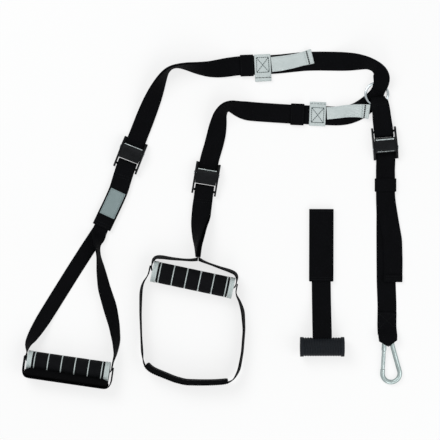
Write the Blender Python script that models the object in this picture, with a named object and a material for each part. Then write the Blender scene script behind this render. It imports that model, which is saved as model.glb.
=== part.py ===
"""Suspension trainer laid flat: webbing, cam buckles, grips and a door anchor."""

from math import asin, atan2, cos, degrees, pi, radians, sin, sqrt

import bmesh
import bpy
from mathutils import Matrix, Vector

# Length of one photo pixel, and the pixel that lies over the frame's origin.
PIXEL = 0.001684
CENTRE_PX = 212.802037
CENTRE_PY = 218.607048

# Clearance between neighbouring pieces.
GAP = 0.0003

# Webbing: one thickness, a wide size for the straps, a narrow one for the handles.
WEB_T = 0.0018
STRAP_W = 0.032
HANDLE_W = 0.025
PITCH = WEB_T + GAP
RUN_STEP = 0.012
TWIST_STEP = 5
BEND_STEP = 14
LIFT_SHARE = 0.4
EASE_STEPS = 4
BLUR_LENGTH = 0.005
DENSE_STEP = 0.0015
HEM_LENGTH = 0.010

# Cam buckle, used three times.
PLATE_T = 0.002
CHEEK_T = 0.003
CHEEK_HEIGHT = 0.0163
BUCKLE_HALF = 0.027
BUCKLE_PLAY = 0.00175
BUCKLE_INNER = STRAP_W + 2 * BUCKLE_PLAY
PLATE_TIP = 0.004
BAR_AT = 0.020
BAR_R = 0.002
BAR_SLACK = 0.0025
PIN_AT = -0.008
PIN_R = 0.0016
PIN_HEAD_R = 0.003
PIN_HEAD_T = 0.0007
PIN_PLAY = 0.0003
CAM_R = 0.006
LEVER_REACH = 0.0175
LEVER_TEETH = 4
TOOTH_DEPTH = 0.0008
POCKET_R = 0.0036
POCKET_DEPTH = 0.006
COIL_R = 0.0026
COIL_WIRE_R = 0.0004
COIL_TURNS = 3
TAIL_H = WEB_T + PLATE_T + 2 * GAP
BAR_Z = WEB_T + 2 * GAP + WEB_T + BAR_R
PIN_Z = TAIL_H + WEB_T + GAP + CAM_R

# Ring that the leg straps run through.
RING_RADIUS = 0.01885
RING_ROD = 0.0022
RING_Z = 2 * PITCH + RING_ROD
RING_PX = 376.5
RING_PY = 94.5

# Snap hook.
HOOK_ROD = 0.004
HOOK_WIDE = 0.0146
HOOK_NARROW = 0.0066
HOOK_SPAN = 0.049
HOOK_PLAY = 0.0014
HOOK_Z_TOP = WEB_T + HOOK_PLAY + HOOK_ROD
GATE_ROD = 0.0034
GATE_START = 0.0095
GATE_LENGTH = 0.031
GATE_GAP = 0.0006
TONGUE_T = 0.0024
TONGUE_R = 0.0028
GATE_PIN_R = 0.001
BUNCH_LENGTH = 0.0104
BUNCH_SHARE = 0.14

# Grips.
GRIP_Z = 0.018
CAP_R = 0.018
CAP_LENGTH = 0.0084
CAP_BORE = 0.0135
TUBE_R = 0.0146
TUBE_BORE = 0.0135
FOAM_R = 0.0174
FOAM_LENGTH = 0.020
RING_WIDTH = 0.0025
RING_BAND_R = 0.0179
SPINE_HALF = 0.004
TURN_SIDES = 20
END_FOAM = 0.0034
FOAM_COUNT = 5
GRIP_HALF = FOAM_COUNT * FOAM_LENGTH / 2 + (FOAM_COUNT + 1) * RING_WIDTH / 2 + END_FOAM + CAP_LENGTH
TURN_AWAY = 0.0032

# Foot loops.
PAD_T = 0.0075
PAD_WIDTH = 0.038
LEAN_PAD_T = 0.005
LEAN_RADIUS = 0.0205

# Adjuster loops and pull tabs of grey webbing.
ADJUSTER_LENGTH = 0.0275
TAB_WIDTH = 0.025
SLACK_OUT = 0.0125

# Bands that hold the tails.
KEEPER_LENGTH = 0.0225

# Label on the left neck strap.
LABEL_WIDTH = 0.0265
LABEL_LENGTH = 0.046
LABEL_T = 0.0006

# Door anchor.
ROLLER_R = 0.0165
ROLLER_RIB_R = 0.0158
ROLLER_DIP_R = 0.0150
ROLLER_LENGTH = 0.074
FLANGE_WIDTH = 0.006
RIB_COUNT = 14
ROLLER_PX = 321.7
ROLLER_PY = 346.2
CORE_R = 0.004
CORE_LENGTH = 0.056
SLEEVE_WIDTH = 0.041
SLEEVE_LENGTH = 0.122

# Stations: photo x, photo y, tilt in degrees, lift in layers, share of the width.
LEG_STATIONS = (
    (127.2, 164.2, 0, 0, 1),
    (130.7, 155.3, 0, 0, 1),
    (136.6, 140.4, 0, 0, 1),
    (138.6, 135.2, 0, 0, 1),
    (142.4, 125.5, 5, 0, 1),
    (147.0, 113.5, 12, 0, 1),
    (152.0, 101.5, 22, 0, 1),
    (157.2, 89.5, 42, 0, 1),
    (161.6, 79.5, 62, 0, 1),
    (166.2, 71.6, 75, 0, 1),
    (171.5, 67.4, 84, 0, 1),
    (178.0, 66.2, 86, 0, 1),
    (187.0, 66.2, 72, 0, 1),
    (198.0, 68.2, 56, 0, 1),
    (209.0, 69.2, 38, 0, 1),
    (219.0, 68.3, 16, 0, 1),
    (229.0, 66.8, 2, 0.4, 1),
    (238.0, 66.0, 0, 1, 1),
    (247.0, 65.7, 0, 1, 1),
    (262.0, 65.2, 0, 1, 1),
    (272.0, 64.6, 0, 1, 1),
    (281.0, 63.9, 0, 0.2, 1),
    (292.0, 62.7, 0, 0, 1),
    (305.0, 61.4, 0, 0, 1),
    (318.0, 61.1, 0, 0, 1),
    (332.0, 61.3, 4, 0, 1),
    (346.0, 61.8, 18, 0, 1),
    (358.0, 62.2, 38, 0, 1),
    (367.0, 63.3, 56, 0, 1),
    (374.5, 66.6, 62, 0.4, 1),
    (379.2, 72.0, 52, 2.2, 0.95),
    (380.6, 77.6, 22, 4.6, 0.85),
    (380.4, 82.6, 2, 5.1, 0.76),
    (378.9, 85.2, 0, 5.1, 0.66),
    (378.1, 87.6, 0, 4.9, 0.64),
    (377.2, 90.6, 0, 2.0, 0.62),
    (376.3, 93.6, 0, 0, 0.62),
    (374.6, 98.6, 0, 0, 0.68),
    (369.6, 103.6, 0, 0, 0.74),
    (364.0, 108.0, -5, 0, 0.84),
    (356.5, 112.2, -12, 0, 0.94),
    (347.0, 115.4, -12, 0, 1),
    (337.0, 116.2, -4, 0.4, 1),
    (327.0, 115.8, 0, 1, 1),
    (317.0, 115.3, 0, 1, 1),
    (304.0, 114.8, 0, 1, 1),
    (290.0, 114.2, 0, 1, 1),
    (282.0, 113.7, 0, 0.5, 1),
    (272.0, 113.0, 0, 0, 1),
    (260.0, 112.2, 0, 0, 1),
    (248.0, 111.2, -10, 0, 1),
    (238.5, 109.0, -34, 0, 1),
    (230.5, 106.6, -58, 0, 1),
    (223.8, 108.4, -62, 0, 1),
    (219.6, 115.0, -50, 0, 1),
    (217.8, 124.5, -30, 0, 1),
    (216.2, 135.0, -12, 0, 1),
    (213.6, 146.0, 0, 0, 1),
    (210.6, 155.6, 0, 0, 1),
    (208.8, 163.1, 0, 0, 1),
    (206.1, 178.9, 0, 0, 1),
    (204.6, 188.0, 0, 0, 1),
)
LEFT_BUCKLE = (130.7, 155.3, -0.366, 0.931)
RIGHT_BUCKLE = (206.1, 178.9, -0.165, 0.986)
ANCHOR_BUCKLE = (384.5, 143.5, -0.087, -0.996)
LEG_JOIN = (377.2, 90.6)
UPPER_TAIL_END = (249.5, 65.7)
LOWER_TAIL_END = (293.5, 114.4)
UPPER_KEEPER = (246.8, 65.7)
LOWER_KEEPER = (297.2, 114.5)
UPPER_ADJUSTER = (262.6, 65.2)
LOWER_ADJUSTER = (317.4, 115.3)

ANCHOR_LOOP_STATIONS = (
    (377.4, 90.0, 0, 1, 0.96),
    (377.6, 98.0, 0, 1, 0.96),
    (378.8, 103.0, 0, 1, 0.96),
    (380.3, 108.0, 0, 1, 0.96),
    (381.4, 117.0, 0, 0.7, 0.97),
    (382.6, 126.0, 0, 0.2, 1),
    (383.5, 133.0, 0, 0, 1),
    (384.0, 139.0, 0, 0, 1),
)
ANCHOR_FOLD = (378.4, 101.4)
FOLD_SHARE = 0.76
MAIN_STATIONS = (
    (384.0, 137.5, 0, 0, 1),
    (384.5, 143.5, 0, 0, 1),
    (385.6, 156.5, 0, 0, 1),
    (385.6, 164.0, 0, 0, 1),
    (385.3, 169.5, 0, 0.2, 1),
    (385.3, 175.0, 0, 1, 1),
    (385.3, 195.5, 0, 1, 1),
    (385.5, 203.0, 0, 0.2, 1),
    (385.9, 212.0, 0, 0, 1),
    (385.8, 230.0, 0, 0, 1),
    (385.9, 255.0, 0, 0, 1),
    (386.1, 281.0, 0, 0, 1),
    (387.0, 306.0, 0, 0, 1),
    (386.7, 326.0, 0, 0, 1),
    (387.2, 336.0, 0, 0, 1),
    (387.7, 344.0, 0, 0, 1),
    (388.3, 352.0, 0, 0, 1),
)
MAIN_TAIL_STATIONS = (
    (385.3, 169.5, 0, 1.2, 1),
    (385.3, 175.0, 0, 2, 1),
    (385.3, 195.5, 0, 2, 1),
    (386.1, 203.0, 0, 1.3, 1),
    (387.4, 211.0, 0, 1, 1),
    (390.4, 229.0, 0, 1, 1),
    (392.5, 240.0, 0, 1, 1),
    (393.0, 262.0, 0, 1, 1),
    (392.7, 281.5, 0, 1, 1),
)
MAIN_KEEPER = (385.3, 185.1)
TAIL_SPLIT = (385.3, 166.5)
HOOK_TOP = (387.3, 340.4)
HOOK_AXIS = (0.108, 0.994)
HOOK_STUB_END = (386.9, 312.0)

LEFT_NECK_STATIONS = (
    (127.9, 162.4, 0, 0, 1),
    (125.9, 167.6, 0, 0, 1),
    (123.2, 175.5, 0, 0, 1),
    (118.9, 190.0, 0, 0, 1),
    (113.4, 202.5, 0, 0, 1),
    (107.4, 215.0, 0, 0, 1),
    (101.6, 227.2, 0, 0, 1),
)
RIGHT_NECK_STATIONS = (
    (204.9, 186.0, 0, 0, 1),
    (204.0, 191.6, 0, 0, 1),
    (203.3, 198.0, 0, 0, 1),
    (202.2, 207.5, 8, 0, 1),
    (201.7, 217.4, 20, 0, 1),
    (200.6, 228.8, 44, 0, 1),
    (200.2, 238.8, 66, 0, 1),
    (200.0, 246.0, 80, 0, 1),
    (200.0, 255.4, 88, 0, 1),
)
LEFT_GRIP = (69.2, 366.0, 0.9895, 0.1445)
RIGHT_GRIP = (193.0, 279.4, 0.9777, 0.2079)

LEFT_BRANCH_OUT = (
    (99.4, 231.4, 0, 0.9, 1),
    (93.0, 241.0, 0, 0.2, 1),
    (86.0, 251.6, 0, 0, 1),
    (73.0, 272.0, 0, 0, 1),
    (58.0, 296.0, 0, 0, 1),
    (45.0, 317.0, 8, 0, 1),
    (35.4, 332.6, 34, 0, 1),
    (29.4, 343.0, 66, 0.8, 1),
    (28.7, 348.6, 88, 1.9, 1),
)
LEFT_BRANCH_BACK = (
    (113.2, 362.3, 90, 2.3, 1),
    (115.4, 354.0, 86, 1.4, 1),
    (116.2, 340.0, 62, 0.2, 1),
    (114.5, 325.0, 46, 0, 1),
    (110.0, 306.5, 24, 0, 1),
    (104.4, 288.0, 36, 0, 1),
    (101.2, 270.0, 58, 0, 1),
    (99.0, 256.0, 80, 0.4, 1),
    (98.2, 247.0, 76, 1.6, 1),
    (98.4, 240.0, 50, 2.4, 1),
    (99.2, 233.4, 8, 2.05, 1),
)
RIGHT_BRANCH_OUT = (
    (196.8, 258.4, 90, 0.2, 1),
    (192.6, 259.8, 90, 0, 1),
    (184.0, 259.6, 90, 0, 1),
    (171.0, 258.4, 90, 0, 1),
    (162.0, 256.8, 90, 0.4, 1),
    (155.2, 257.0, 90, 1.4, 1),
    (152.8, 261.6, 90, 2.4, 1),
)
RIGHT_BRANCH_BACK = (
    (237.4, 277.6, 90, 2.5, 1),
    (235.4, 273.0, 90, 1.6, 1),
    (228.9, 270.2, 90, 0.5, 1),
    (221.0, 267.8, 90, 0, 1),
    (210.0, 263.8, 90, 0, 1),
    (202.4, 260.6, 90, 0, 1),
    (199.6, 258.4, 90, 0.2, 1),
)
RIGHT_FOOT_STATIONS = (
    (145.6, 279.6, 90, 2, 1),
    (143.0, 285.0, 90, 1.2, 1),
    (141.4, 292.0, 90, 0.6, 1),
    (140.8, 313.0, 90, 0.6, 1),
    (141.6, 336.0, 90, 1.4, 1),
    (142.6, 352.0, 90, 3.1, 1),
    (143.6, 361.0, 90, 3.1, 1),
    (146.6, 367.4, 90, 3.1, 1),
    (152.6, 371.6, 90, 3.1, 1),
    (161.0, 375.0, 90, 3.1, 1),
    (174.5, 380.4, 90, 3.1, 1),
    (185.4, 383.2, 90, 3.1, 1),
    (199.6, 384.0, 90, 3.1, 1),
    (213.0, 384.0, 90, 3.1, 1),
    (226.5, 383.2, 90, 3.1, 1),
    (233.6, 379.6, 90, 3.1, 1),
    (239.0, 369.0, 90, 3.1, 1),
    (242.2, 352.0, 90, 1.4, 1),
    (244.0, 329.0, 90, 0.6, 1),
    (243.0, 311.0, 90, 0.6, 1),
    (239.6, 300.6, 90, 1.4, 1),
)
FOOT_PAD_START = (146.2, 367.0)
FOOT_PAD_END = (229.0, 382.6)
UPPER_TAB_STATIONS = (
    (271.3, 64.8, 0, 2, 1),
    (280.0, 63.8, 0, 1.9, 1),
    (292.0, 61.6, 0, 1.2, 0.94),
    (303.0, 58.9, 0, 1, 0.9),
    (308.4, 57.4, 0, 1, 0.98),
    (312.0, 56.5, 0, 1, 1),
)
LOWER_TAB_STATIONS = (
    (326.5, 113.4, 0, 2, 0.84),
    (334.0, 113.0, 4, 2, 0.8),
    (345.0, 111.4, 11, 2.3, 0.84),
    (356.0, 110.9, 11, 2.4, 0.86),
    (363.0, 111.3, 6, 2.5, 0.92),
    (368.6, 112.0, 4, 2.5, 0.98),
)
DOOR_STATIONS = (
    (321.3, 206.0, 0, 1, 1),
    (321.2, 245.0, 0, 1, 1),
    (321.1, 284.0, 0, 1, 1),
    (321.3, 300.0, 0, 1.6, 1),
    (321.5, 320.0, 0, 4.6, 1),
    (321.7, 334.0, 0, 7.4, 1),
    (321.7, 340.0, 0, 7.4, 1),
    (321.7, 352.0, 0, 7.4, 1),
)

DOOR_STRAP_TOP = (321.2, 215.0)
DOOR_RISE = (321.2, 290.0)
SLEEVE_MIDDLE = (321.2, 245.2)
LABEL_MIDDLE = (113.0, 203.6)

# Outline tables as shares of a named size.
CHEEK_SHARES = (
    (-1.0, 0.06), (-0.963, 0.0), (0.963, 0.0), (1.0, 0.06), (1.0, 0.55), (0.926, 0.68),
    (0.444, 0.77), (0.074, 0.95), (-0.296, 1.0), (-0.519, 0.95), (-0.889, 0.58), (-1.0, 0.49),
)
LEVER_SHARES = (
    (0.97, 0.06), (1.0, 0.13), (0.94, 0.18), (0.46, 0.21), (0.0, 0.26), (-0.29, 0.24),
    (-0.43, 0.14), (-0.43, 0.03), (-0.31, -0.14),
)
LEVER_UNDER_SHARES = ((0.18, -0.114), (0.286, 0.017))


def spot(px, py, z=0.0):
    """Turn a photo pixel and a height into a point of the frame."""
    return Vector(((px - CENTRE_PX) * PIXEL, (CENTRE_PY - py) * PIXEL, z))


def mix(low, high, share):
    """Blend two numbers."""
    return low + (high - low) * share


def ease(share):
    """Soften the start and the end of a blend."""
    return share * share * (3 - 2 * share)


class Route:
    """Smooth line through stations, with the frame of a strap at each place."""

    def __init__(self, stations, width):
        self.width = width
        self.rows = self.blurred(self.dense(stations))
        self.centres = [self.centre_of(row) for row in self.rows]
        self.marks = [0.0]
        for first, second in zip(self.centres, self.centres[1:]):
            self.marks.append(self.marks[-1] + (second - first).length)
        self.length = self.marks[-1]
        self.tangents = [
            (self.centres[min(index + 1, len(self.centres) - 1)]
             - self.centres[max(index - 1, 0)]).normalized()
            for index in range(len(self.centres))]
        self.stops = self.find_stops()

    def find_stops(self):
        """Choose where rungs go: closer together where the strap bends or twists."""
        stops = []
        used = 0.0
        for index in range(1, len(self.rows)):
            used += (self.marks[index] - self.marks[index - 1]) / RUN_STEP
            used += abs(self.rows[index][2] - self.rows[index - 1][2]) / TWIST_STEP
            used += abs(self.rows[index][3] - self.rows[index - 1][3]) / LIFT_SHARE
            used += degrees(self.tangents[index].angle(self.tangents[index - 1])) / BEND_STEP
            if used >= 1:
                stops.append(self.marks[index])
                used = 0.0
        return stops

    @staticmethod
    def dense(stations):
        """Fill in straight steps between the stations."""
        rows = []
        for first, second in zip(stations, stations[1:]):
            span = (spot(*second[:2]) - spot(*first[:2])).length
            steps = max(2, round(span / DENSE_STEP))
            for step in range(steps):
                rows.append([mix(a, b, step / steps) for a, b in zip(first, second)])
        rows.append(list(stations[-1]))
        return rows

    @staticmethod
    def blurred(rows):
        """Average each row with its neighbours, twice."""
        reach = round(BLUR_LENGTH / DENSE_STEP)
        for _ in range(2):
            smooth = []
            for index in range(len(rows)):
                span = min(reach, index, len(rows) - 1 - index)
                near = rows[index - span:index + span + 1]
                smooth.append([sum(column) / len(near) for column in zip(*near)])
            rows = smooth
        return rows

    def centre_of(self, row):
        """Place the strap's centre so that its lower edge lies on the floor."""
        tilt = radians(row[2])
        edge = self.width / 2 * row[4] * abs(sin(tilt))
        return spot(row[0], row[1], edge + WEB_T / 2 * abs(cos(tilt)) + row[3] * PITCH)

    def near(self, px, py):
        """Find the distance along the line that lies closest to a pixel."""
        target = spot(px, py).xy
        best = None
        for index in range(len(self.rows) - 1):
            low, high = self.centres[index].xy, self.centres[index + 1].xy
            span = high - low
            share = min(1, max(0, (target - low).dot(span) / span.length_squared))
            miss = (low + span * share - target).length
            if best is None or miss < best[0]:
                best = (miss, mix(self.marks[index], self.marks[index + 1], share))
        return best[1]

    def at(self, mark):
        """Give centre, tangent, side, normal and half width at a distance."""
        last = len(self.marks) - 1
        index = 0
        while index < last - 1 and self.marks[index + 1] < mark:
            index += 1
        span = self.marks[index + 1] - self.marks[index]
        share = (mark - self.marks[index]) / span
        centre = self.centres[index].lerp(self.centres[index + 1], share)
        tangent = self.tangents[index].lerp(self.tangents[index + 1], share).normalized()
        row = [mix(a, b, share) for a, b in zip(self.rows[index], self.rows[index + 1])]
        level = Vector((0, 0, 1)).cross(tangent).normalized()
        tilt = radians(row[2])
        side = level * cos(tilt) + tangent.cross(level) * sin(tilt)
        return centre, tangent, side, tangent.cross(side), self.width / 2 * row[4]


def run(route, start, end, low=0.0, high=None, wide=(1, 1), thick=(1, 1)):
    """List profile points from one distance to another, easing the height."""
    high = low if high is None else high
    lower, upper = min(start, end), max(start, end)
    marks = [mark for mark in route.stops if lower + GAP < mark < upper - GAP]
    if low != high:
        marks += [mix(lower, upper, step / EASE_STEPS) for step in range(1, EASE_STEPS)]
    marks = sorted(marks + [lower, upper], reverse=end < start)
    points = []
    for mark in marks:
        share = (mark - start) / (end - start)
        points.append((mark, mix(low, high, ease(share)), mix(*wide, share), mix(*thick, share)))
    return points


def turn(mark, height, radius, begin, end, wide=1, thick=1, steps=8):
    """List profile points round an arc in the plane of distance and height."""
    points = []
    for step in range(steps + 1):
        angle = radians(mix(begin, end, step / steps))
        points.append((mark + radius * cos(angle), height + radius * sin(angle), wide, thick))
    return points


def lay(route, *profiles):
    """Turn profile points over a route into rungs of webbing."""
    points = []
    for point in (point for profile in profiles for point in profile):
        if not points or sqrt((point[0] - points[-1][0]) ** 2
                              + (point[1] - points[-1][1]) ** 2) > GAP:
            points.append(point)
    rungs = []
    for index, (mark, height, wide, thick) in enumerate(points):
        before = points[max(0, index - 1)]
        after = points[min(len(points) - 1, index + 1)]
        along, up = after[0] - before[0], after[1] - before[1]
        size = sqrt(along * along + up * up)
        centre, tangent, side, normal, half = route.at(mark)
        facing = normal * (along / size) - tangent * (up / size)
        rungs.append((centre + normal * height, side, facing, half * wide, WEB_T / 2 * thick,
                      along < 0))
    return rungs


def make(name, work):
    """Turn a bmesh into an object with outward faces."""
    bmesh.ops.recalc_face_normals(work, faces=work.faces)
    mesh = bpy.data.meshes.new(name)
    work.to_mesh(mesh)
    work.free()
    thing = bpy.data.objects.new(name, mesh)
    bpy.context.scene.collection.objects.link(thing)
    return thing


def skin(work, loops, closed, mirrored=None):
    """Join loops of corners with faces, and cap both ends when open.

    Webbing lists in mirrored how each step is split, so that plies nest.
    """
    rows = [[work.verts.new(corner) for corner in loop] for loop in loops]
    count = len(rows[0])
    pairs = list(zip(rows, rows[1:]))
    if closed:
        pairs.append((rows[-1], rows[0]))
    for step, (first, second) in enumerate(pairs):
        for index in range(count):
            other = (index + 1) % count
            if mirrored is None:
                work.faces.new((first[index], first[other], second[other], second[index]))
            elif mirrored[step] == (index < 2):
                work.faces.new((first[index], first[other], second[index]))
                work.faces.new((first[other], second[other], second[index]))
            else:
                work.faces.new((first[index], first[other], second[other]))
                work.faces.new((first[index], second[other], second[index]))
    if not closed:
        work.faces.new(rows[0])
        work.faces.new(reversed(rows[-1]))


def webbing(name, rungs, closed=False):
    """Build a flat strap through rungs, each a centre, side, normal and half sizes."""
    loops = []
    last_side = rungs[0][1]
    mirrored = []
    for centre, side, normal, half, half_t, backward in rungs:
        flipped = side.dot(last_side) < 0
        if flipped:
            side, normal = -side, -normal
        mirrored.append(backward != flipped)
        last_side = side
        loops.append([centre + side * half + normal * half_t,
                      centre - side * half + normal * half_t,
                      centre - side * half - normal * half_t,
                      centre + side * half - normal * half_t])
    work = bmesh.new()
    skin(work, loops, closed, None if closed else mirrored)
    return make(name, work)


def band(name, route, mark, length, path):
    """Build a closed band round a strap from a path of side and height places."""
    centre, tangent, side, normal, _ = route.at(mark)
    rungs = []
    for index, (across, height) in enumerate(path):
        before = path[index - 1]
        after = path[(index + 1) % len(path)]
        step = Vector((after[0] - before[0], after[1] - before[1])).normalized()
        facing = side * step.y - normal * step.x
        rungs.append((centre + side * across + normal * height, tangent, facing,
                      length / 2, WEB_T / 2, False))
    return webbing(name, rungs, closed=True)


def wrap_path(half, low, high, bulge=0.0):
    """Give the path of a band round plies, with a loose fold past one edge."""
    bend = WEB_T / 2 + GAP
    middle = (low + high) / 2
    path = [(0.0, low)]
    path += corner(half + bulge, low + bend, bend, -90, 0)
    path += [(half + bulge + bend, middle)]
    path += corner(half + bulge, high - bend, bend, 0, 90)
    if bulge:
        dip = mix(middle, high, 0.5)
        path += [(half + bend + bulge * 0.62, high), (half + bend + bulge * 0.44, dip),
                 (half + bend + bulge * 0.26, high)]
    path += [(0.0, high)]
    path += corner(-half, high - bend, bend, 90, 180)
    path += [(-half - bend, middle)]
    path += corner(-half, low + bend, bend, 180, 270)
    return path


def corner(across, height, radius, begin, end, steps=3):
    """List points of a quarter bend."""
    points = []
    for step in range(steps + 1):
        angle = radians(mix(begin, end, step / steps))
        points.append((across + radius * cos(angle), height + radius * sin(angle)))
    return points


def tube(name, points, radius, sides=12, closed=False):
    """Sweep a round section along points."""
    loops = []
    count = len(points)
    normal = None
    for index, point in enumerate(points):
        before = points[index - 1] if closed or index else point
        after = points[(index + 1) % count] if closed or index < count - 1 else point
        tangent = (after - before).normalized()
        if normal is None:
            normal = tangent.orthogonal().normalized()
        normal = (normal - tangent * normal.dot(tangent)).normalized()
        other = tangent.cross(normal)
        loops.append([point + radius * (normal * cos(angle) + other * sin(angle))
                      for angle in (2 * pi * side / sides for side in range(sides))])
    work = bmesh.new()
    skin(work, loops, closed)
    return make(name, work)


def turned(name, outline, segments=20, placing=None):
    """Revolve a closed outline of (along, radius) about the X axis."""
    loops = []
    for step in range(segments):
        angle = 2 * pi * step / segments
        loops.append([Vector((along, radius * cos(angle), radius * sin(angle)))
                      for along, radius in outline])
    work = bmesh.new()
    skin(work, loops, True)
    if placing:
        work.transform(placing)
    return make(name, work)


def rod(name, start, end, radius, segments=16):
    """Build a plain cylinder between two points."""
    return tube(name, [start, end], radius, segments)


def slab(name, outline, low, high, placing=None):
    """Extrude an outline of (X, Z) along Y between two places."""
    work = bmesh.new()
    skin(work, [[Vector((x, place, z)) for x, z in outline] for place in (low, high)], False)
    if placing:
        work.transform(placing)
    return make(name, work)


def block(name, low, high):
    """Build a box between two corners."""
    outline = ((low[0], low[2]), (high[0], low[2]), (high[0], high[2]), (low[0], high[2]))
    return slab(name, outline, low[1], high[1])


def cut(thing, tools, operation="DIFFERENCE"):
    """Apply boolean tools to an object and remove them."""
    for tool in tools:
        step = thing.modifiers.new("cut", "BOOLEAN")
        step.object = tool
        step.solver = "EXACT"
        step.operation = operation
    bpy.context.view_layer.update()
    shape = thing.evaluated_get(bpy.context.evaluated_depsgraph_get())
    mesh = bpy.data.meshes.new_from_object(shape)
    thing.modifiers.clear()
    thing.data = mesh
    for tool in tools:
        bpy.data.objects.remove(tool)
    return thing


def lever_outline():
    """Give the cam lever's outline round its pin, teeth included."""
    points = [(x * LEVER_REACH, z * LEVER_REACH) for x, z in LEVER_SHARES]
    for tooth in range(LEVER_TEETH):
        begin = -142 + tooth * 17
        for angle, radius in ((begin, CAM_R - TOOTH_DEPTH), (begin + 9, CAM_R)):
            points.append((radius * cos(radians(angle)), radius * sin(radians(angle))))
    points += [(x * LEVER_REACH, z * LEVER_REACH) for x, z in LEVER_UNDER_SHARES]
    return points


def buckle_meshes():
    """Build frame, lever, pin and spring of the cam buckle once, at the origin."""
    half = BUCKLE_INNER / 2
    cheek = [(x * BUCKLE_HALF, z * CHEEK_HEIGHT) for x, z in CHEEK_SHARES]
    frame = slab("frame", cheek, half, half + CHEEK_T)
    other = slab("other", cheek, -half - CHEEK_T, -half)
    inset = CHEEK_T / 2
    plate = block("plate", (-BUCKLE_HALF, -half - inset, WEB_T + GAP),
                  (PLATE_TIP, half + inset, WEB_T + GAP + PLATE_T))
    bar = rod("bar", Vector((BAR_AT, -half - inset, BAR_Z)),
              Vector((BAR_AT, half + inset, BAR_Z)), BAR_R, 12)
    cut(frame, [other, plate, bar], "UNION")
    wide = half + 2 * CHEEK_T
    cut(frame, [rod("hole", Vector((PIN_AT, -wide, PIN_Z)), Vector((PIN_AT, wide, PIN_Z)),
                    PIN_R + PIN_PLAY)])
    lever = slab("lever", lever_outline(), -half + GAP, half - GAP,
                 Matrix.Translation((PIN_AT, 0, PIN_Z)))
    cut(lever, [rod("bore", Vector((PIN_AT, -wide, PIN_Z)), Vector((PIN_AT, wide, PIN_Z)),
                    PIN_R + PIN_PLAY)])
    cut(lever, [rod("pocket", Vector((PIN_AT, half - POCKET_DEPTH, PIN_Z)),
                    Vector((PIN_AT, wide, PIN_Z)), POCKET_R)])
    reach = half + CHEEK_T + PIN_HEAD_T + GAP
    shoulder = half + CHEEK_T + GAP
    outline = [(-reach, 0.0), (-reach, PIN_HEAD_R), (-shoulder, PIN_HEAD_R), (-shoulder, PIN_R),
               (shoulder, PIN_R), (shoulder, PIN_HEAD_R), (reach, PIN_HEAD_R), (reach, 0.0)]
    pin = spindle("pin", outline, Matrix.Translation((PIN_AT, 0, PIN_Z))
                  @ Matrix.Rotation(pi / 2, 4, "Z"))
    turns = COIL_TURNS * 8
    rise = POCKET_DEPTH - 4 * COIL_WIRE_R
    points = []
    for step in range(turns + 1):
        angle = 2 * pi * step / 8
        points.append(Vector((PIN_AT + COIL_R * cos(angle),
                              half - POCKET_DEPTH + 2 * COIL_WIRE_R + rise * step / turns,
                              PIN_Z + COIL_R * sin(angle))))
    spring = tube("spring", points, COIL_WIRE_R, 6)
    return {"frame": frame, "lever": lever, "pin": pin, "spring": spring}


def spindle(name, outline, placing, segments=14):
    """Revolve an open outline that starts and ends on the X axis."""
    work = bmesh.new()
    rows = []
    for along, radius in outline:
        if radius == 0.0:
            rows.append([work.verts.new((along, 0.0, 0.0))])
            continue
        rows.append([work.verts.new((along, radius * cos(2 * pi * step / segments),
                                     radius * sin(2 * pi * step / segments)))
                     for step in range(segments)])
    for first, second in zip(rows, rows[1:]):
        for step in range(segments):
            other = (step + 1) % segments
            corners = [first[step % len(first)], first[other % len(first)],
                       second[other % len(second)], second[step % len(second)]]
            work.faces.new(list(dict.fromkeys(corners)))
    work.transform(placing)
    return make(name, work)


def placing_of(px, py, right, down, height=0.0):
    """Give the placing whose X axis runs along a direction of the photo."""
    turn_angle = atan2(-down, right)
    return Matrix.Translation(spot(px, py, height)) @ Matrix.Rotation(turn_angle, 4, "Z")


def place_buckles():
    """Set one cam buckle on each strap."""
    meshes = buckle_meshes()
    for label, where in (("upper", LEFT_BUCKLE), ("lower", RIGHT_BUCKLE),
                         ("anchor", ANCHOR_BUCKLE)):
        for piece, source in meshes.items():
            thing = bpy.data.objects.new(f"{label}_cam_{piece}", source.data.copy())
            thing.data.transform(placing_of(*where))
            bpy.context.scene.collection.objects.link(thing)
    for source in meshes.values():
        bpy.data.objects.remove(source)


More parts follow.
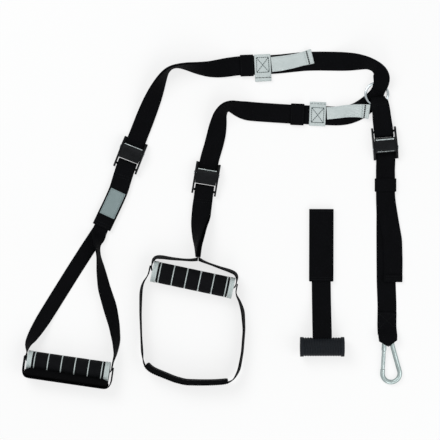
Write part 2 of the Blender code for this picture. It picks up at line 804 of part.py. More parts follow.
def build_leg_straps():
    """Build both leg straps, which meet inside the ring, with their bands."""
    leg = Route(LEG_STATIONS, STRAP_W)
    middle = leg.near(*LEG_JOIN)
    left = leg.near(*LEFT_BUCKLE[:2])
    right = leg.near(*RIGHT_BUCKLE[:2])
    rise = BUCKLE_HALF + BUCKLE_HALF / 3
    radius = TAIL_H / 2
    low = left - PLATE_TIP
    webbing("upper_leg_strap", lay(
        leg,
        run(leg, leg.near(*UPPER_TAIL_END), left + rise, PITCH),
        run(leg, left + rise, left + BUCKLE_HALF, PITCH, TAIL_H),
        run(leg, left + BUCKLE_HALF, low, TAIL_H),
        turn(low, radius, radius, 90, 270),
        run(leg, low, middle - GAP / 2)))
    high = right + PLATE_TIP
    webbing("lower_leg_strap", lay(
        leg,
        run(leg, middle + GAP / 2, high),
        turn(high, radius, radius, -90, 90),
        run(leg, high, right - BUCKLE_HALF, TAIL_H),
        run(leg, right - BUCKLE_HALF, right - rise, TAIL_H, PITCH),
        run(leg, right - rise, leg.near(*LOWER_TAIL_END), PITCH)))
    half = STRAP_W / 2
    top = PITCH + PITCH
    band("upper_keeper", leg, leg.near(*UPPER_KEEPER), KEEPER_LENGTH,
         wrap_path(half, -PITCH, top))
    band("lower_keeper", leg, leg.near(*LOWER_KEEPER), KEEPER_LENGTH,
         wrap_path(half, -PITCH, top))
    band("upper_adjuster", leg, leg.near(*UPPER_ADJUSTER), ADJUSTER_LENGTH,
         [(-across, height) for across, height in wrap_path(half, -PITCH, PITCH, SLACK_OUT)][::-1])
    band("lower_adjuster", leg, leg.near(*LOWER_ADJUSTER), ADJUSTER_LENGTH,
         [(-across, height) for across, height in
          wrap_path(half, -PITCH, PITCH, SLACK_OUT / 2)][::-1])
    for name, stations in (("upper_pull_tab", UPPER_TAB_STATIONS),
                           ("lower_pull_tab", LOWER_TAB_STATIONS)):
        route = Route(stations, TAB_WIDTH)
        end = route.length - PITCH / 2
        webbing(name, lay(route, run(route, GAP, end),
                          turn(end, PITCH / 2, PITCH / 2, -90, 90, steps=5),
                          run(route, end, end - HEM_LENGTH, PITCH)))


def build_anchor():
    """Build ring, short loop, main strap and snap hook of the anchor side."""
    ring = [spot(RING_PX, RING_PY, RING_Z)
            + RING_RADIUS * Vector((cos(2 * pi * step / 36), sin(2 * pi * step / 36), 0))
            for step in range(36)]
    tube("strap_ring", ring, RING_ROD, 10, closed=True)
    loop = Route(ANCHOR_LOOP_STATIONS, STRAP_W)
    fold = loop.near(*ANCHOR_FOLD)
    bar = loop.near(*offset(ANCHOR_BUCKLE, BAR_AT)) + BAR_SLACK
    ring_gap = RING_ROD + GAP + WEB_T / 2
    high = 2 * ring_gap
    bar_gap = BAR_R + GAP + WEB_T / 2
    bar_low = BAR_Z - bar_gap - WEB_T / 2
    mid = (fold + bar) / 2
    webbing("anchor_loop", lay(
        loop,
        run(loop, mid - GAP, fold, 0.0, 0.0, (1, FOLD_SHARE)),
        turn(fold, ring_gap, ring_gap, 270, 90, FOLD_SHARE),
        run(loop, fold, fold + HEM_LENGTH / 2, high, high, (FOLD_SHARE, 1)),
        run(loop, fold + HEM_LENGTH / 2, bar, high, bar_low + 2 * bar_gap),
        turn(bar, bar_low + bar_gap, bar_gap, 90, -90),
        run(loop, bar, mid + GAP, bar_low, 0.0)))
    main = Route(MAIN_STATIONS, STRAP_W)
    tail = Route(MAIN_TAIL_STATIONS, STRAP_W)
    centre = main.near(*ANCHOR_BUCKLE[:2])
    radius = TAIL_H / 2
    low = centre - PLATE_TIP
    end = tail.length - PITCH / 2
    hook = main.near(*HOOK_TOP)
    narrow = BUNCH_SHARE
    over = 2 * (HOOK_ROD + HOOK_PLAY) + WEB_T
    inside = hook + HOOK_ROD + HOOK_PLAY + 1.5 * WEB_T
    rungs = lay(tail, run(tail, end - HEM_LENGTH, end, PITCH),
                turn(end, PITCH / 2, PITCH / 2, 90, -90, steps=5), run(tail, end, 0.0))
    rungs += lay(
        main,
        run(main, main.near(*TAIL_SPLIT), centre + BUCKLE_HALF, PITCH, TAIL_H),
        run(main, centre + BUCKLE_HALF, low, TAIL_H),
        turn(low, radius, radius, 90, 270),
        run(main, low, hook - BUNCH_LENGTH),
        run(main, hook - BUNCH_LENGTH, hook - HOOK_ROD, 0.0, 0.0, (1, narrow), (1, 1)),
        run(main, hook - HOOK_ROD, hook + HOOK_ROD, 0.0, 0.0, (narrow, narrow)),
        [(inside - WEB_T, WEB_T / 2, narrow, 1.4),
         (inside, over / 3, narrow, 2), (inside, over * 2 / 3, narrow, 2),
         (inside - WEB_T / 2, over + GAP, narrow * 2, 1)],
        run(main, hook, hook - 2 * HOOK_ROD, over, over, (0.8, 1)),
        run(main, hook - 2 * HOOK_ROD, hook - 6 * HOOK_ROD, over, PITCH),
        run(main, hook - 6 * HOOK_ROD, main.near(*HOOK_STUB_END), PITCH))
    webbing("main_strap", rungs)
    band("main_keeper", main, main.near(*MAIN_KEEPER), KEEPER_LENGTH,
         wrap_path(STRAP_W / 2, -PITCH, 2 * PITCH))
    build_hook()


def offset(where, along):
    """Give the pixel at a distance along a placed part's own axis."""
    return where[0] + where[2] * along / PIXEL, where[1] + where[3] * along / PIXEL


def build_hook():
    """Build the pear shaped snap hook with its gate and pin."""
    lean = asin((HOOK_Z_TOP - HOOK_ROD) / (HOOK_NARROW + HOOK_SPAN + HOOK_WIDE))
    placing = placing_of(*HOOK_TOP, *HOOK_AXIS, HOOK_Z_TOP) @ Matrix.Rotation(lean, 4, "Y")
    slope = atan2(HOOK_WIDE - HOOK_NARROW, HOOK_SPAN)
    top, bottom = HOOK_NARROW, HOOK_NARROW + HOOK_SPAN

    def side_point(along):
        """Give a place on the gate side at a distance from the top."""
        share = (along - top) / (bottom - top)
        return Vector((along, -mix(HOOK_NARROW, HOOK_WIDE, share), 0.0))

    gate_low = side_point(top + GATE_START)
    gate_high = side_point(top + GATE_START + GATE_LENGTH)
    points = [gate_low, side_point(top + GATE_START / 2)]
    points += [Vector((top - HOOK_NARROW * sin(angle), -HOOK_NARROW * cos(angle), 0.0))
               for angle in (slope + (pi - 2 * slope) * step / 8 for step in range(9))]
    points += [Vector((mix(top, bottom, share), mix(HOOK_NARROW, HOOK_WIDE, share), 0.0))
               for share in (0.25, 0.5, 0.75)]
    points += [Vector((bottom + HOOK_WIDE * sin(angle), HOOK_WIDE * cos(angle), 0.0))
               for angle in (-slope + (pi + 2 * slope) * step / 12 for step in range(13))]
    points += [gate_high]
    body = tube("hook_body", points, HOOK_ROD, 12)
    along = (gate_high - gate_low).normalized()
    shift = HOOK_ROD + TONGUE_R
    pivot = gate_low + along * (shift - GATE_GAP)
    tongue = slab("tongue", tongue_outline(shift), -TONGUE_T / 2, TONGUE_T / 2,
                  frame_at(pivot, along))
    cut(body, [tongue], "UNION")
    up = Vector((0, 0, 1))
    cut(body, [rod("hole", pivot - up * HOOK_ROD * 2, pivot + up * HOOK_ROD * 2,
                   GATE_PIN_R + PIN_PLAY / 2)])
    gate = rod("hook_gate", gate_low + along * GATE_GAP, gate_high - along * GATE_GAP,
               GATE_ROD, 12)
    clear = TONGUE_R + GAP + GATE_GAP
    slot = slab("slot", [(-shift * 2, -clear * 2), (clear, -clear * 2), (clear, clear * 2),
                         (-shift * 2, clear * 2)],
                -TONGUE_T / 2 - GAP, TONGUE_T / 2 + GAP, frame_at(pivot, along))
    cut(gate, [slot])
    cut(gate, [rod("hole", pivot - up * HOOK_ROD * 2, pivot + up * HOOK_ROD * 2,
                   GATE_PIN_R + PIN_PLAY / 2)])
    pin = rod("hook_pin", pivot - up * (GATE_ROD - GAP), pivot + up * (GATE_ROD - GAP),
              GATE_PIN_R, 10)
    for thing in (body, gate, pin):
        thing.data.transform(placing)


def frame_at(point, along):
    """Give the placing whose X axis runs along a direction and whose Y axis is up."""
    up = Vector((0, 0, 1))
    other = along.cross(up)
    return Matrix((
        (along.x, up.x, other.x, point.x), (along.y, up.y, other.y, point.y),
        (along.z, up.z, other.z, point.z), (0, 0, 0, 1)))


def tongue_outline(shift):
    """Give the outline of the flat tongue that the gate turns on."""
    points = [(-shift, -TONGUE_R), (0.0, -TONGUE_R)]
    for step in range(1, 8):
        angle = -pi / 2 + pi * step / 8
        points.append((TONGUE_R * cos(angle), TONGUE_R * sin(angle)))
    return points + [(0.0, TONGUE_R), (-shift, TONGUE_R)]


def grip_station(grip, along, across, tilt, lift):
    """Give a station at a place beside a grip, measured from its middle."""
    px = grip[0] + (grip[2] * along - grip[3] * across) / PIXEL
    py = grip[1] + (grip[3] * along + grip[2] * across) / PIXEL
    return (px, py, tilt, lift, 1)


def add_ring(work, start, end, low):
    """Add one closed ring of foam between two places along the grip."""
    loops = []
    for step in range(TURN_SIDES):
        angle = 2 * pi * step / TURN_SIDES
        loops.append([Vector((along, radius * cos(angle), radius * sin(angle)))
                      for along, radius in ((start, low), (end, low),
                                            (end, FOAM_R), (start, FOAM_R))])
    skin(work, loops, True)


def build_grip(side, grip):
    """Build ribbed tube, foam and end caps of one grip."""
    placing = placing_of(*grip, GRIP_Z)
    inner = GRIP_HALF - CAP_LENGTH
    outline = [(-inner, TUBE_BORE), (inner, TUBE_BORE), (inner, TUBE_R)]
    foam = bmesh.new()
    low = TUBE_R + GAP
    place = inner - END_FOAM
    edge = inner
    for _ in range(FOAM_COUNT + 1):
        start = place - RING_WIDTH
        outline += [(place, TUBE_R), (place, RING_BAND_R), (start, RING_BAND_R), (start, TUBE_R)]
        add_ring(foam, place + GAP, edge - GAP, low)
        edge = start
        place = start - FOAM_LENGTH
    add_ring(foam, -inner + GAP, edge - GAP, low)
    outline.append((-inner, TUBE_R))
    tube_thing = turned(f"{side}_grip_tube", outline, 20)
    deep = -2 * RING_BAND_R
    cut(tube_thing, [block("slot", (-inner, -SPINE_HALF - GAP, deep),
                           (inner, SPINE_HALF + GAP, -TUBE_R - GAP))])
    tube_thing.data.transform(placing)
    foam_thing = make(f"{side}_grip_foam", foam)
    cut(foam_thing, [block("spine", (-inner + 2 * GAP, -SPINE_HALF, -FOAM_R + 2 * GAP),
                           (inner - 2 * GAP, SPINE_HALF, -TUBE_R - 2 * GAP))], "UNION")
    foam_thing.data.transform(placing)
    for end_name, sign in (("outer", -1), ("inner", 1)):
        start, stop = sign * (inner + GAP), sign * GRIP_HALF
        round_r = CAP_R - WEB_T / 2
        turned(f"{side}_{end_name}_cap", [
            (start, CAP_BORE), (start, CAP_R), (mix(start, stop, 0.8), CAP_R),
            (stop, round_r), (stop, CAP_BORE)], 20, placing)


def build_handle(side, neck_stations, grip, buckle, out, back, plies):
    """Build neck strap, handle loop and grip of one side."""
    neck = Route(neck_stations, STRAP_W)
    bar = neck.near(*offset(buckle, BAR_AT))
    bar_gap = BAR_R + GAP + WEB_T / 2
    bar_low = BAR_Z - bar_gap - WEB_T / 2
    top = 3 * PITCH
    near_bar = bar + BUCKLE_HALF / 2
    webbing(f"{side}_neck_strap", lay(
        neck,
        run(neck, neck.length, near_bar),
        run(neck, near_bar, bar, 0.0, bar_low),
        turn(bar, bar_low + bar_gap, bar_gap, 270, 90),
        run(neck, bar, near_bar, bar_low + 2 * bar_gap, top),
        run(neck, near_bar, neck.length, top)))
    build_grip(side, grip)
    share = HANDLE_W / STRAP_W
    lift = (GRIP_Z - HANDLE_W / 2) / PITCH
    away = GRIP_HALF + TURN_AWAY
    stations = list(out)
    stations += [grip_station(grip, -away, -HANDLE_W / 2, 90, lift),
                 grip_station(grip, -away, 0.0, 90, lift),
                 grip_station(grip, -GRIP_HALF / 2, 0.0, 90, lift),
                 grip_station(grip, GRIP_HALF / 2, 0.0, 90, lift),
                 grip_station(grip, away, 0.0, 90, lift),
                 grip_station(grip, away, -HANDLE_W / 2, 90, lift)]
    stations += list(back)
    branch = Route(stations, HANDLE_W)
    start = near_bar + 2 * GAP
    first, second = plies
    wide = (share, share)
    rungs = lay(neck, run(neck, start, neck.length - GAP, first * PITCH, None, wide))
    rungs += lay(branch, run(branch, 0.0, branch.length))
    rungs += lay(neck, run(neck, neck.length - GAP, start, second * PITCH, None, wide))
    webbing(f"{side}_handle_strap", rungs)
    return neck


def build_foot_loops():
    """Build the open right foot loop and the left one that leans on its grip."""
    lift = (GRIP_Z - HANDLE_W / 2) / PITCH
    away = GRIP_HALF + TURN_AWAY + PITCH
    behind = -HANDLE_W / 3
    stations = [grip_station(RIGHT_GRIP, -away, behind, 90, lift),
                grip_station(RIGHT_GRIP, -away, HANDLE_W / 3, 90, lift)]
    stations += list(RIGHT_FOOT_STATIONS)
    stations += [grip_station(RIGHT_GRIP, away, HANDLE_W / 3, 90, lift),
                 grip_station(RIGHT_GRIP, away, behind, 90, lift)]
    foot = Route(stations, HANDLE_W)
    webbing("right_foot_strap", lay(foot, run(foot, 0.0, foot.length)))
    start, end = foot.near(*FOOT_PAD_START), foot.near(*FOOT_PAD_END)
    inward = -(WEB_T / 2 + GAP + PAD_T / 2)
    middle = (foot.at((start + end) / 2)[0]
              + foot.at((start + end) / 2)[3] * inward)
    if (middle - spot(RIGHT_GRIP[0], RIGHT_GRIP[1])).length > \
            (foot.at((start + end) / 2)[0] - spot(RIGHT_GRIP[0], RIGHT_GRIP[1])).length:
        inward = -inward
    thick = PAD_T / WEB_T
    wide = PAD_WIDTH / HANDLE_W
    webbing("right_foot_pad", lay(foot, run(foot, start, end, inward, None, (wide, wide),
                                            (thick, thick))))
    lean = placing_of(*LEFT_GRIP, GRIP_Z) @ Matrix.Rotation(pi / 2, 4, "Z")
    section = []
    for radius, angles in ((LEAN_RADIUS, (0, 14, 28, 42, 55)),
                           (LEAN_RADIUS + LEAN_PAD_T, (55, 42, 28, 14, 0))):
        arc = [(-radius * cos(radians(angle)), radius * sin(radians(angle))) for angle in angles]
        foot_point = (-radius, GAP - GRIP_Z)
        section += [foot_point] + arc if angles[0] == 0 else arc + [foot_point]
    slab("left_foot_pad", section, -GRIP_HALF + 4 * GAP, GRIP_HALF - 4 * GAP, lean)
    out = LEAN_RADIUS + LEAN_PAD_T + GAP + WEB_T / 2
    stations = [grip_station(LEFT_GRIP, along, across, 90, lift) for along, across in
                ((-away, behind), (-away, HANDLE_W / 3), (-away, out), (0.0, out),
                 (away, out), (away, HANDLE_W / 3), (away, behind))]
    left = Route(stations, HANDLE_W)
    webbing("left_foot_strap", lay(left, run(left, 0.0, left.length)))


def build_label(neck):
    """Build the bare label on the left neck strap."""
    centre, tangent, side, normal, _ = neck.at(neck.near(*LABEL_MIDDLE))
    height = 3 * PITCH + WEB_T / 2 + GAP + LABEL_T / 2
    low = centre - tangent * LABEL_LENGTH / 2 + normal * height
    high = centre + tangent * LABEL_LENGTH / 2 + normal * height
    webbing("neck_label", [(place, side, normal, LABEL_WIDTH / 2, LABEL_T / 2, False)
                           for place in (low, high)])


def build_door_anchor():
    """Build the separate door anchor: sleeve, strap, roller and core."""
    route = Route(DOOR_STATIONS, STRAP_W)
    core = route.near(ROLLER_PX, ROLLER_PY)
    grip_gap = CORE_R + GAP + WEB_T / 2
    height = ROLLER_R - route.at(core)[0].z
    start = route.near(*DOOR_STRAP_TOP)
    before = core - ROLLER_R
    webbing("door_strap", lay(
        route,
        run(route, start, route.near(*DOOR_RISE)),
        run(route, route.near(*DOOR_RISE), before, 0.0, height - grip_gap),
        run(route, before, core, height - grip_gap),
        turn(core, height, grip_gap, -90, 90),
        run(route, core, before, height + grip_gap),
        run(route, before, route.near(*DOOR_RISE), height + grip_gap, PITCH),
        run(route, route.near(*DOOR_RISE), start, PITCH)))
    band("door_sleeve", route, route.near(*SLEEVE_MIDDLE), SLEEVE_LENGTH,
         wrap_path(SLEEVE_WIDTH / 2 - WEB_T - GAP, -PITCH, 2 * PITCH))
    half = ROLLER_LENGTH / 2
    bore = grip_gap + WEB_T / 2 + GAP
    body = half - FLANGE_WIDTH
    outline = [(-half, bore), (-half, ROLLER_R), (-body, ROLLER_R)]
    step = 2 * body / (2 * RIB_COUNT + 1)
    for index in range(2 * RIB_COUNT + 1):
        radius = ROLLER_DIP_R if index % 2 == 0 else ROLLER_RIB_R
        outline += [(-body + index * step, radius), (-body + (index + 1) * step, radius)]
    outline += [(body, ROLLER_R), (half, ROLLER_R), (half, bore)]
    placing = Matrix.Translation(spot(ROLLER_PX, ROLLER_PY, ROLLER_R))
    roller = turned("door_roller", outline, 18, placing)
    middle = spot(ROLLER_PX, ROLLER_PY, ROLLER_R)
    wide = STRAP_W / 2 + 2 * GAP
    high = bore - GAP / 2
    cut(roller, [block("mouth", middle + Vector((-wide, 0.0, -high)),
                       middle + Vector((wide, 2 * ROLLER_R, high)))])
    reach = Vector((CORE_LENGTH / 2, 0, 0))
    rod("door_core", middle - reach, middle + reach, CORE_R, 14)


def main():
    """Clear the scene and build every piece."""
    for thing in list(bpy.data.objects):
        bpy.data.objects.remove(thing)
    place_buckles()
    build_leg_straps()
    build_anchor()
    neck = build_handle("left", LEFT_NECK_STATIONS, LEFT_GRIP, LEFT_BUCKLE,
                        LEFT_BRANCH_OUT, LEFT_BRANCH_BACK, (1, 2))
    build_label(neck)
    build_handle("right", RIGHT_NECK_STATIONS, RIGHT_GRIP, RIGHT_BUCKLE,
                 RIGHT_BRANCH_OUT, RIGHT_BRANCH_BACK, (2, 1))
    build_foot_loops()
    build_door_anchor()


main()
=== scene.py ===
"""Dresses the suspension trainer: woven straps, grips, metalwork, floor and light."""
import logging
from dataclasses import dataclass, field
from enum import Enum
from itertools import accumulate
from math import asin, atan2, cos, dist, hypot, inf, pi, radians, sin, sqrt
from typing import Callable, Iterable, Optional, Sequence

import bmesh
import bpy
from mathutils import Matrix, Vector


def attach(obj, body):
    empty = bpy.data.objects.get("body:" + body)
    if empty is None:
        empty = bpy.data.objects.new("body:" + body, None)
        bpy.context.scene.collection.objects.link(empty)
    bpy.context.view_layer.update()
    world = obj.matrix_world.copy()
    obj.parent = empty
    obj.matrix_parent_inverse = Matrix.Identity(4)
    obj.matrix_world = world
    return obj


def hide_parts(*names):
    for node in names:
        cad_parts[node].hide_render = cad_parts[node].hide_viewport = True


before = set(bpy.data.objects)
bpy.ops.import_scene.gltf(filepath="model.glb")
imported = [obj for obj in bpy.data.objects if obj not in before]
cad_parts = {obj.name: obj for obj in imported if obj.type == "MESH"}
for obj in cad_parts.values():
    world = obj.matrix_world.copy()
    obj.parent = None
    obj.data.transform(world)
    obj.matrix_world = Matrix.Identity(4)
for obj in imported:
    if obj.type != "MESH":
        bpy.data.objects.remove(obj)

LOG = logging.getLogger("trainer")
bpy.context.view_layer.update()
Point = tuple[float, float]
Station = tuple[float, ...]
Row = tuple[float, float, float, float]
Work, Piece = bmesh.types.BMesh, bpy.types.Object
Node, Socket = bpy.types.Node, bpy.types.NodeSocket
Sockets = dict[str, Socket]
UP = Vector((0.0, 0.0, 1.0))
# Usual tilt, lift and width share of a station, and the tilt of a strap on edge.
LEVEL = (0.0, 0.0, 1.0)
ON_EDGE = 90.0
# Angles from which an edge shades sharp, is bevelled or counts as flat, and the distance
# within which corners are welded.
SMOOTH_ANGLE, CUT_ANGLE = radians(50), radians(40)
SOFT_ANGLE, FLAT_ANGLE = radians(32), radians(2)
WELD = 1e-6
# A strap's round edge in degrees, then shares: a band lying flat, its loose fold, an arched
# stitch, how far a bend may reach along a side, and the inner part of a bevelled rim.
EDGE_ANGLES = (30, 60, 90)
FLAT_SHARES = (0.7, 0.35, 0.0, -0.35, -0.7)
FOLD_SHARES = ((0.72, 0.98), (0.62, 1.0), (0.53, 0.8), (0.44, 0.5), (0.35, 0.8), (0.26, 1.0))
STITCH_SHARES = ((-0.7, 0.7, 0.0), (0.35, 1.0, 0.2), (0.6, 1.0, 0.5), (0.35, 1.0, 0.8),
                 (-0.7, 0.7, 1.0))
BEND_SHARE = 0.45
RIM_SHARE = 0.3
# Steps of a strap's turn, and the sides of the grips' ribs, foam and caps, and of the roller.
TURN_STEPS = 14
ROUND_SIDES = 80
ROLLER_SIDES = 72


class Body(Enum):
    """Rigid bodies of the frame that pieces ride on."""

    WEBBING = "webbing"
    RING = "ring"
    HOOK = "hook"
    GATE = "gate"
    KEEPER = "keeper"
    LEFT_GRIP = "left_grip"
    RIGHT_GRIP = "right_grip"
    LEFT_FOOT = "left_foot"
    RIGHT_FOOT = "right_foot"
    UPPER_TAB = "upper_tab"
    LOWER_TAB = "lower_tab"
    UPPER_LEVER = "upper_lever"
    LOWER_LEVER = "lower_lever"
    ANCHOR_LEVER = "anchor_lever"


@dataclass(frozen=True)
class Layout:
    """How the photo's pixels lie on the floor, and the sizes that all straps share."""

    pixel: float = 0.001684
    centre_px: float = 212.802037
    centre_py: float = 218.607048
    gap: float = 0.0003
    thick: float = 0.0018
    wide: float = 0.032
    narrow: float = 0.025
    rung_step: float = 0.0035
    blur: float = 0.005
    dense: float = 0.0015

    @property
    def half_t(self) -> float:
        """Give half the thickness of the webbing."""
        return self.thick / 2

    @property
    def pitch(self) -> float:
        """Give the height from one ply to the next."""
        return self.thick + self.gap

    def spot(self, px: float, py: float, z: float = 0.0) -> Vector:
        """Turn a photo pixel and a height into a point of the frame.

        Args:
            px: Photo column.
            py: Photo row.
            z: Height over the floor.

        Returns:
            The point in metres.
        """
        return Vector(((px - self.centre_px) * self.pixel, (self.centre_py - py) * self.pixel, z))


LAYOUT = Layout()


def mix(low: float, high: float, share: float) -> float:
    """Blend two numbers."""
    return low + (high - low) * share


def ease(share: float) -> float:
    """Soften the start and the end of a blend."""
    return share * share * (3 - 2 * share)


@dataclass
class Rung:
    """One cross-section of a strap: its centre, its axes and its half sizes."""

    centre: Vector
    side: Vector
    facing: Vector
    half: float
    half_t: float


@dataclass
class Route:
    """Smooth line through stations, with the frame of a strap at each place."""

    stations: Sequence[Station]
    width: float
    rows: list[list[float]] = field(init=False)
    centres: list[Vector] = field(init=False)
    marks: list[float] = field(init=False)
    tangents: list[Vector] = field(init=False)

    def __post_init__(self) -> None:
        """Work out the smoothed rows, the centres and the distances along them."""
        self.rows = self._blurred(self._dense())
        self.centres = [self._centre(row) for row in self.rows]
        self.marks = [0.0]
        for first, second in zip(self.centres, self.centres[1:]):
            self.marks.append(self.marks[-1] + (second - first).length)
        last = len(self.centres) - 1
        self.tangents = [
            (self.centres[min(i + 1, last)] - self.centres[max(i - 1, 0)]).normalized()
            for i in range(last + 1)]

    @property
    def length(self) -> float:
        """Give the whole length."""
        return self.marks[-1]

    def _dense(self) -> list[list[float]]:
        """Fill in straight steps between the stations.

        Returns:
            The filled rows.
        """
        rows, full = [], [(*row, *LEVEL[len(row) - 2:]) for row in self.stations]
        for first, second in zip(full, full[1:]):
            span = (LAYOUT.spot(*second[:2]) - LAYOUT.spot(*first[:2])).length
            steps = max(2, round(span / LAYOUT.dense))
            rows += [[mix(a, b, step / steps) for a, b in zip(first, second)]
                     for step in range(steps)]
        return rows + [list(full[-1])]

    @staticmethod
    def _blurred(rows: list[list[float]]) -> list[list[float]]:
        """Average each row with its neighbours, twice.

        Args:
            rows: Rows of five values.

        Returns:
            The smoothed rows.
        """
        reach = round(LAYOUT.blur / LAYOUT.dense)
        for _ in range(2):
            smooth = []
            for i in range(len(rows)):
                span = min(reach, i, len(rows) - 1 - i)
                near = rows[i - span:i + span + 1]
                smooth.append([sum(column) / len(near) for column in zip(*near)])
            rows = smooth
        return rows

    def _centre(self, row: Sequence[float]) -> Vector:
        """Place the strap's centre so that its lower edge lies on the floor.

        Args:
            row: One row of the route.

        Returns:
            The strap's centre.
        """
        tilt = radians(row[2])
        edge = self.width / 2 * row[4] * abs(sin(tilt))
        return LAYOUT.spot(row[0], row[1],
                           edge + LAYOUT.half_t * abs(cos(tilt)) + row[3] * LAYOUT.pitch)

    def near(self, px: float, py: float) -> float:
        """Find the distance along the line that lies closest to a pixel.

        Args:
            px: Photo column.
            py: Photo row.

        Returns:
            The distance from the route's start.
        """
        target = LAYOUT.spot(px, py).xy
        best = (inf, 0.0)
        for i in range(len(self.rows) - 1):
            low, high = self.centres[i].xy, self.centres[i + 1].xy
            span = high - low
            share = min(1, max(0, (target - low).dot(span) / span.length_squared))
            miss = (low + span * share - target).length
            best = min(best, (miss, mix(self.marks[i], self.marks[i + 1], share)))
        return best[1]

    def at(self, mark: float) -> tuple[Vector, Vector, Vector, Vector, float]:
        """Give centre, tangent, side, normal and half width at a distance.

        Args:
            mark: Distance from the route's start.

        Returns:
            The frame of the strap there, and half its width.
        """
        last = len(self.marks) - 1
        i = 0
        while i < last - 1 and self.marks[i + 1] < mark:
            i += 1
        share = (mark - self.marks[i]) / (self.marks[i + 1] - self.marks[i])
        centre = self.centres[i].lerp(self.centres[i + 1], share)
        tangent = self.tangents[i].lerp(self.tangents[i + 1], share).normalized()
        row = [mix(a, b, share) for a, b in zip(self.rows[i], self.rows[i + 1])]
        level = UP.cross(tangent).normalized()
        tilt = radians(row[2])
        side = level * cos(tilt) + tangent.cross(level) * sin(tilt)
        return centre, tangent, side, tangent.cross(side), self.width / 2 * row[4]

    def run(self, start: float, end: float, low: float = 0.0, high: Optional[float] = None,
            wide: Point = (1, 1), thick: Point = (1, 1)) -> list[Row]:
        """List profile rows from one distance to another, easing the height.

        Args:
            start: First distance.
            end: Last distance.
            low: Height over the route at the start.
            high: Height at the end, or the same as at the start.
            wide: Shares of the width at both ends.
            thick: Shares of the thickness at both ends.

        Returns:
            Rows of distance, height, width share and thickness share.
        """
        high = low if high is None else high
        lower, upper = min(start, end), max(start, end)
        step = LAYOUT.rung_step
        first = int(lower / step) + 1
        marks = [i * step for i in range(first, int(upper / step) + 1)
                 if lower + step / 4 < i * step < upper - step / 4]
        rows = []
        for mark in sorted([lower, *marks, upper], reverse=end < start):
            share = (mark - start) / (end - start)
            rows.append((mark, mix(low, high, ease(share)), mix(*wide, share),
                         mix(*thick, share)))
        return rows

    def lay(self, *profiles: Iterable[Row]) -> list[Rung]:
        """Turn profile rows over this route into rungs of webbing.

        Args:
            profiles: Lists of rows, in the order that the strap passes them.

        Returns:
            The rungs.
        """
        rows: list[Row] = []
        for row in (row for profile in profiles for row in profile):
            if not rows or dist(row[:2], rows[-1][:2]) > LAYOUT.gap / 2:
                rows.append(row)
        rungs = []
        for i, (mark, height, wide, thick) in enumerate(rows):
            before, after = rows[max(0, i - 1)], rows[min(len(rows) - 1, i + 1)]
            along, up = after[0] - before[0], after[1] - before[1]
            size = hypot(along, up)
            centre, tangent, side, normal, half = self.at(mark)
            facing = normal * (along / size) - tangent * (up / size)
            rungs.append(Rung(centre + normal * height, side, facing, half * wide,
                              LAYOUT.half_t * thick))
        return rungs


def turn(mark: float, height: float, radius: float, begin: float, end: float,
         wide: float = 1) -> list[Row]:
    """List profile rows round an arc, from its centre, its radius and two angles in degrees."""
    return [(*place, wide, 1) for place in corner(mark, height, radius, begin, end, TURN_STEPS)]


def publish(name: str, work: Work) -> Piece:
    """Turn a bmesh into a smooth shaded object with outward faces.

    Args:
        name: Name of the piece.
        work: The mesh, which is freed.

    Returns:
        The object, linked to the scene.
    """
    bmesh.ops.recalc_face_normals(work, faces=work.faces)
    mesh = bpy.data.meshes.new(name)
    work.to_mesh(mesh)
    work.free()
    mesh.shade_smooth()
    mesh.set_sharp_from_angle(angle=SMOOTH_ANGLE)
    piece = bpy.data.objects.new(name, mesh)
    bpy.context.scene.collection.objects.link(piece)
    return piece


def skin(work: Work, loops: Sequence[Sequence[Vector]], closed: bool,
         widths: Optional[Sequence[float]] = None,
         lengths: Optional[Sequence[float]] = None) -> None:
    """Join loops of corners with faces, cap open ends and lay out a UV in metres.

    Args:
        work: The mesh to add to.
        loops: Rings of corners, all of one count.
        closed: Whether the last ring meets the first.
        widths: Distance round the ring at each corner, with the whole girth last.
        lengths: Distance along at each ring, with the closing ring's last.
    """
    layer = work.loops.layers.uv.verify()
    rows = [[work.verts.new(corner) for corner in ring] for ring in loops]
    count = len(rows[0])
    steps = len(rows) if closed else len(rows) - 1
    for step in range(steps):
        first, second = rows[step], rows[(step + 1) % len(rows)]
        for i in range(count):
            face = work.faces.new((first[i], first[(i + 1) % count],
                                   second[(i + 1) % count], second[i]))
            if widths and lengths:
                corners = ((i, step), (i + 1, step), (i + 1, step + 1), (i, step + 1))
                for loop, (across, along) in zip(face.loops, corners):
                    loop[layer].uv = (widths[across], lengths[along])
    if not closed:
        work.faces.new(rows[0])
        work.faces.new(reversed(rows[-1]))


def girth_marks(ring: Sequence[Point]) -> list[float]:
    """List the distance round a closed outline at each corner, with the whole girth last."""
    return list(accumulate(map(dist, ring, [*ring[1:], ring[0]]), initial=0.0))


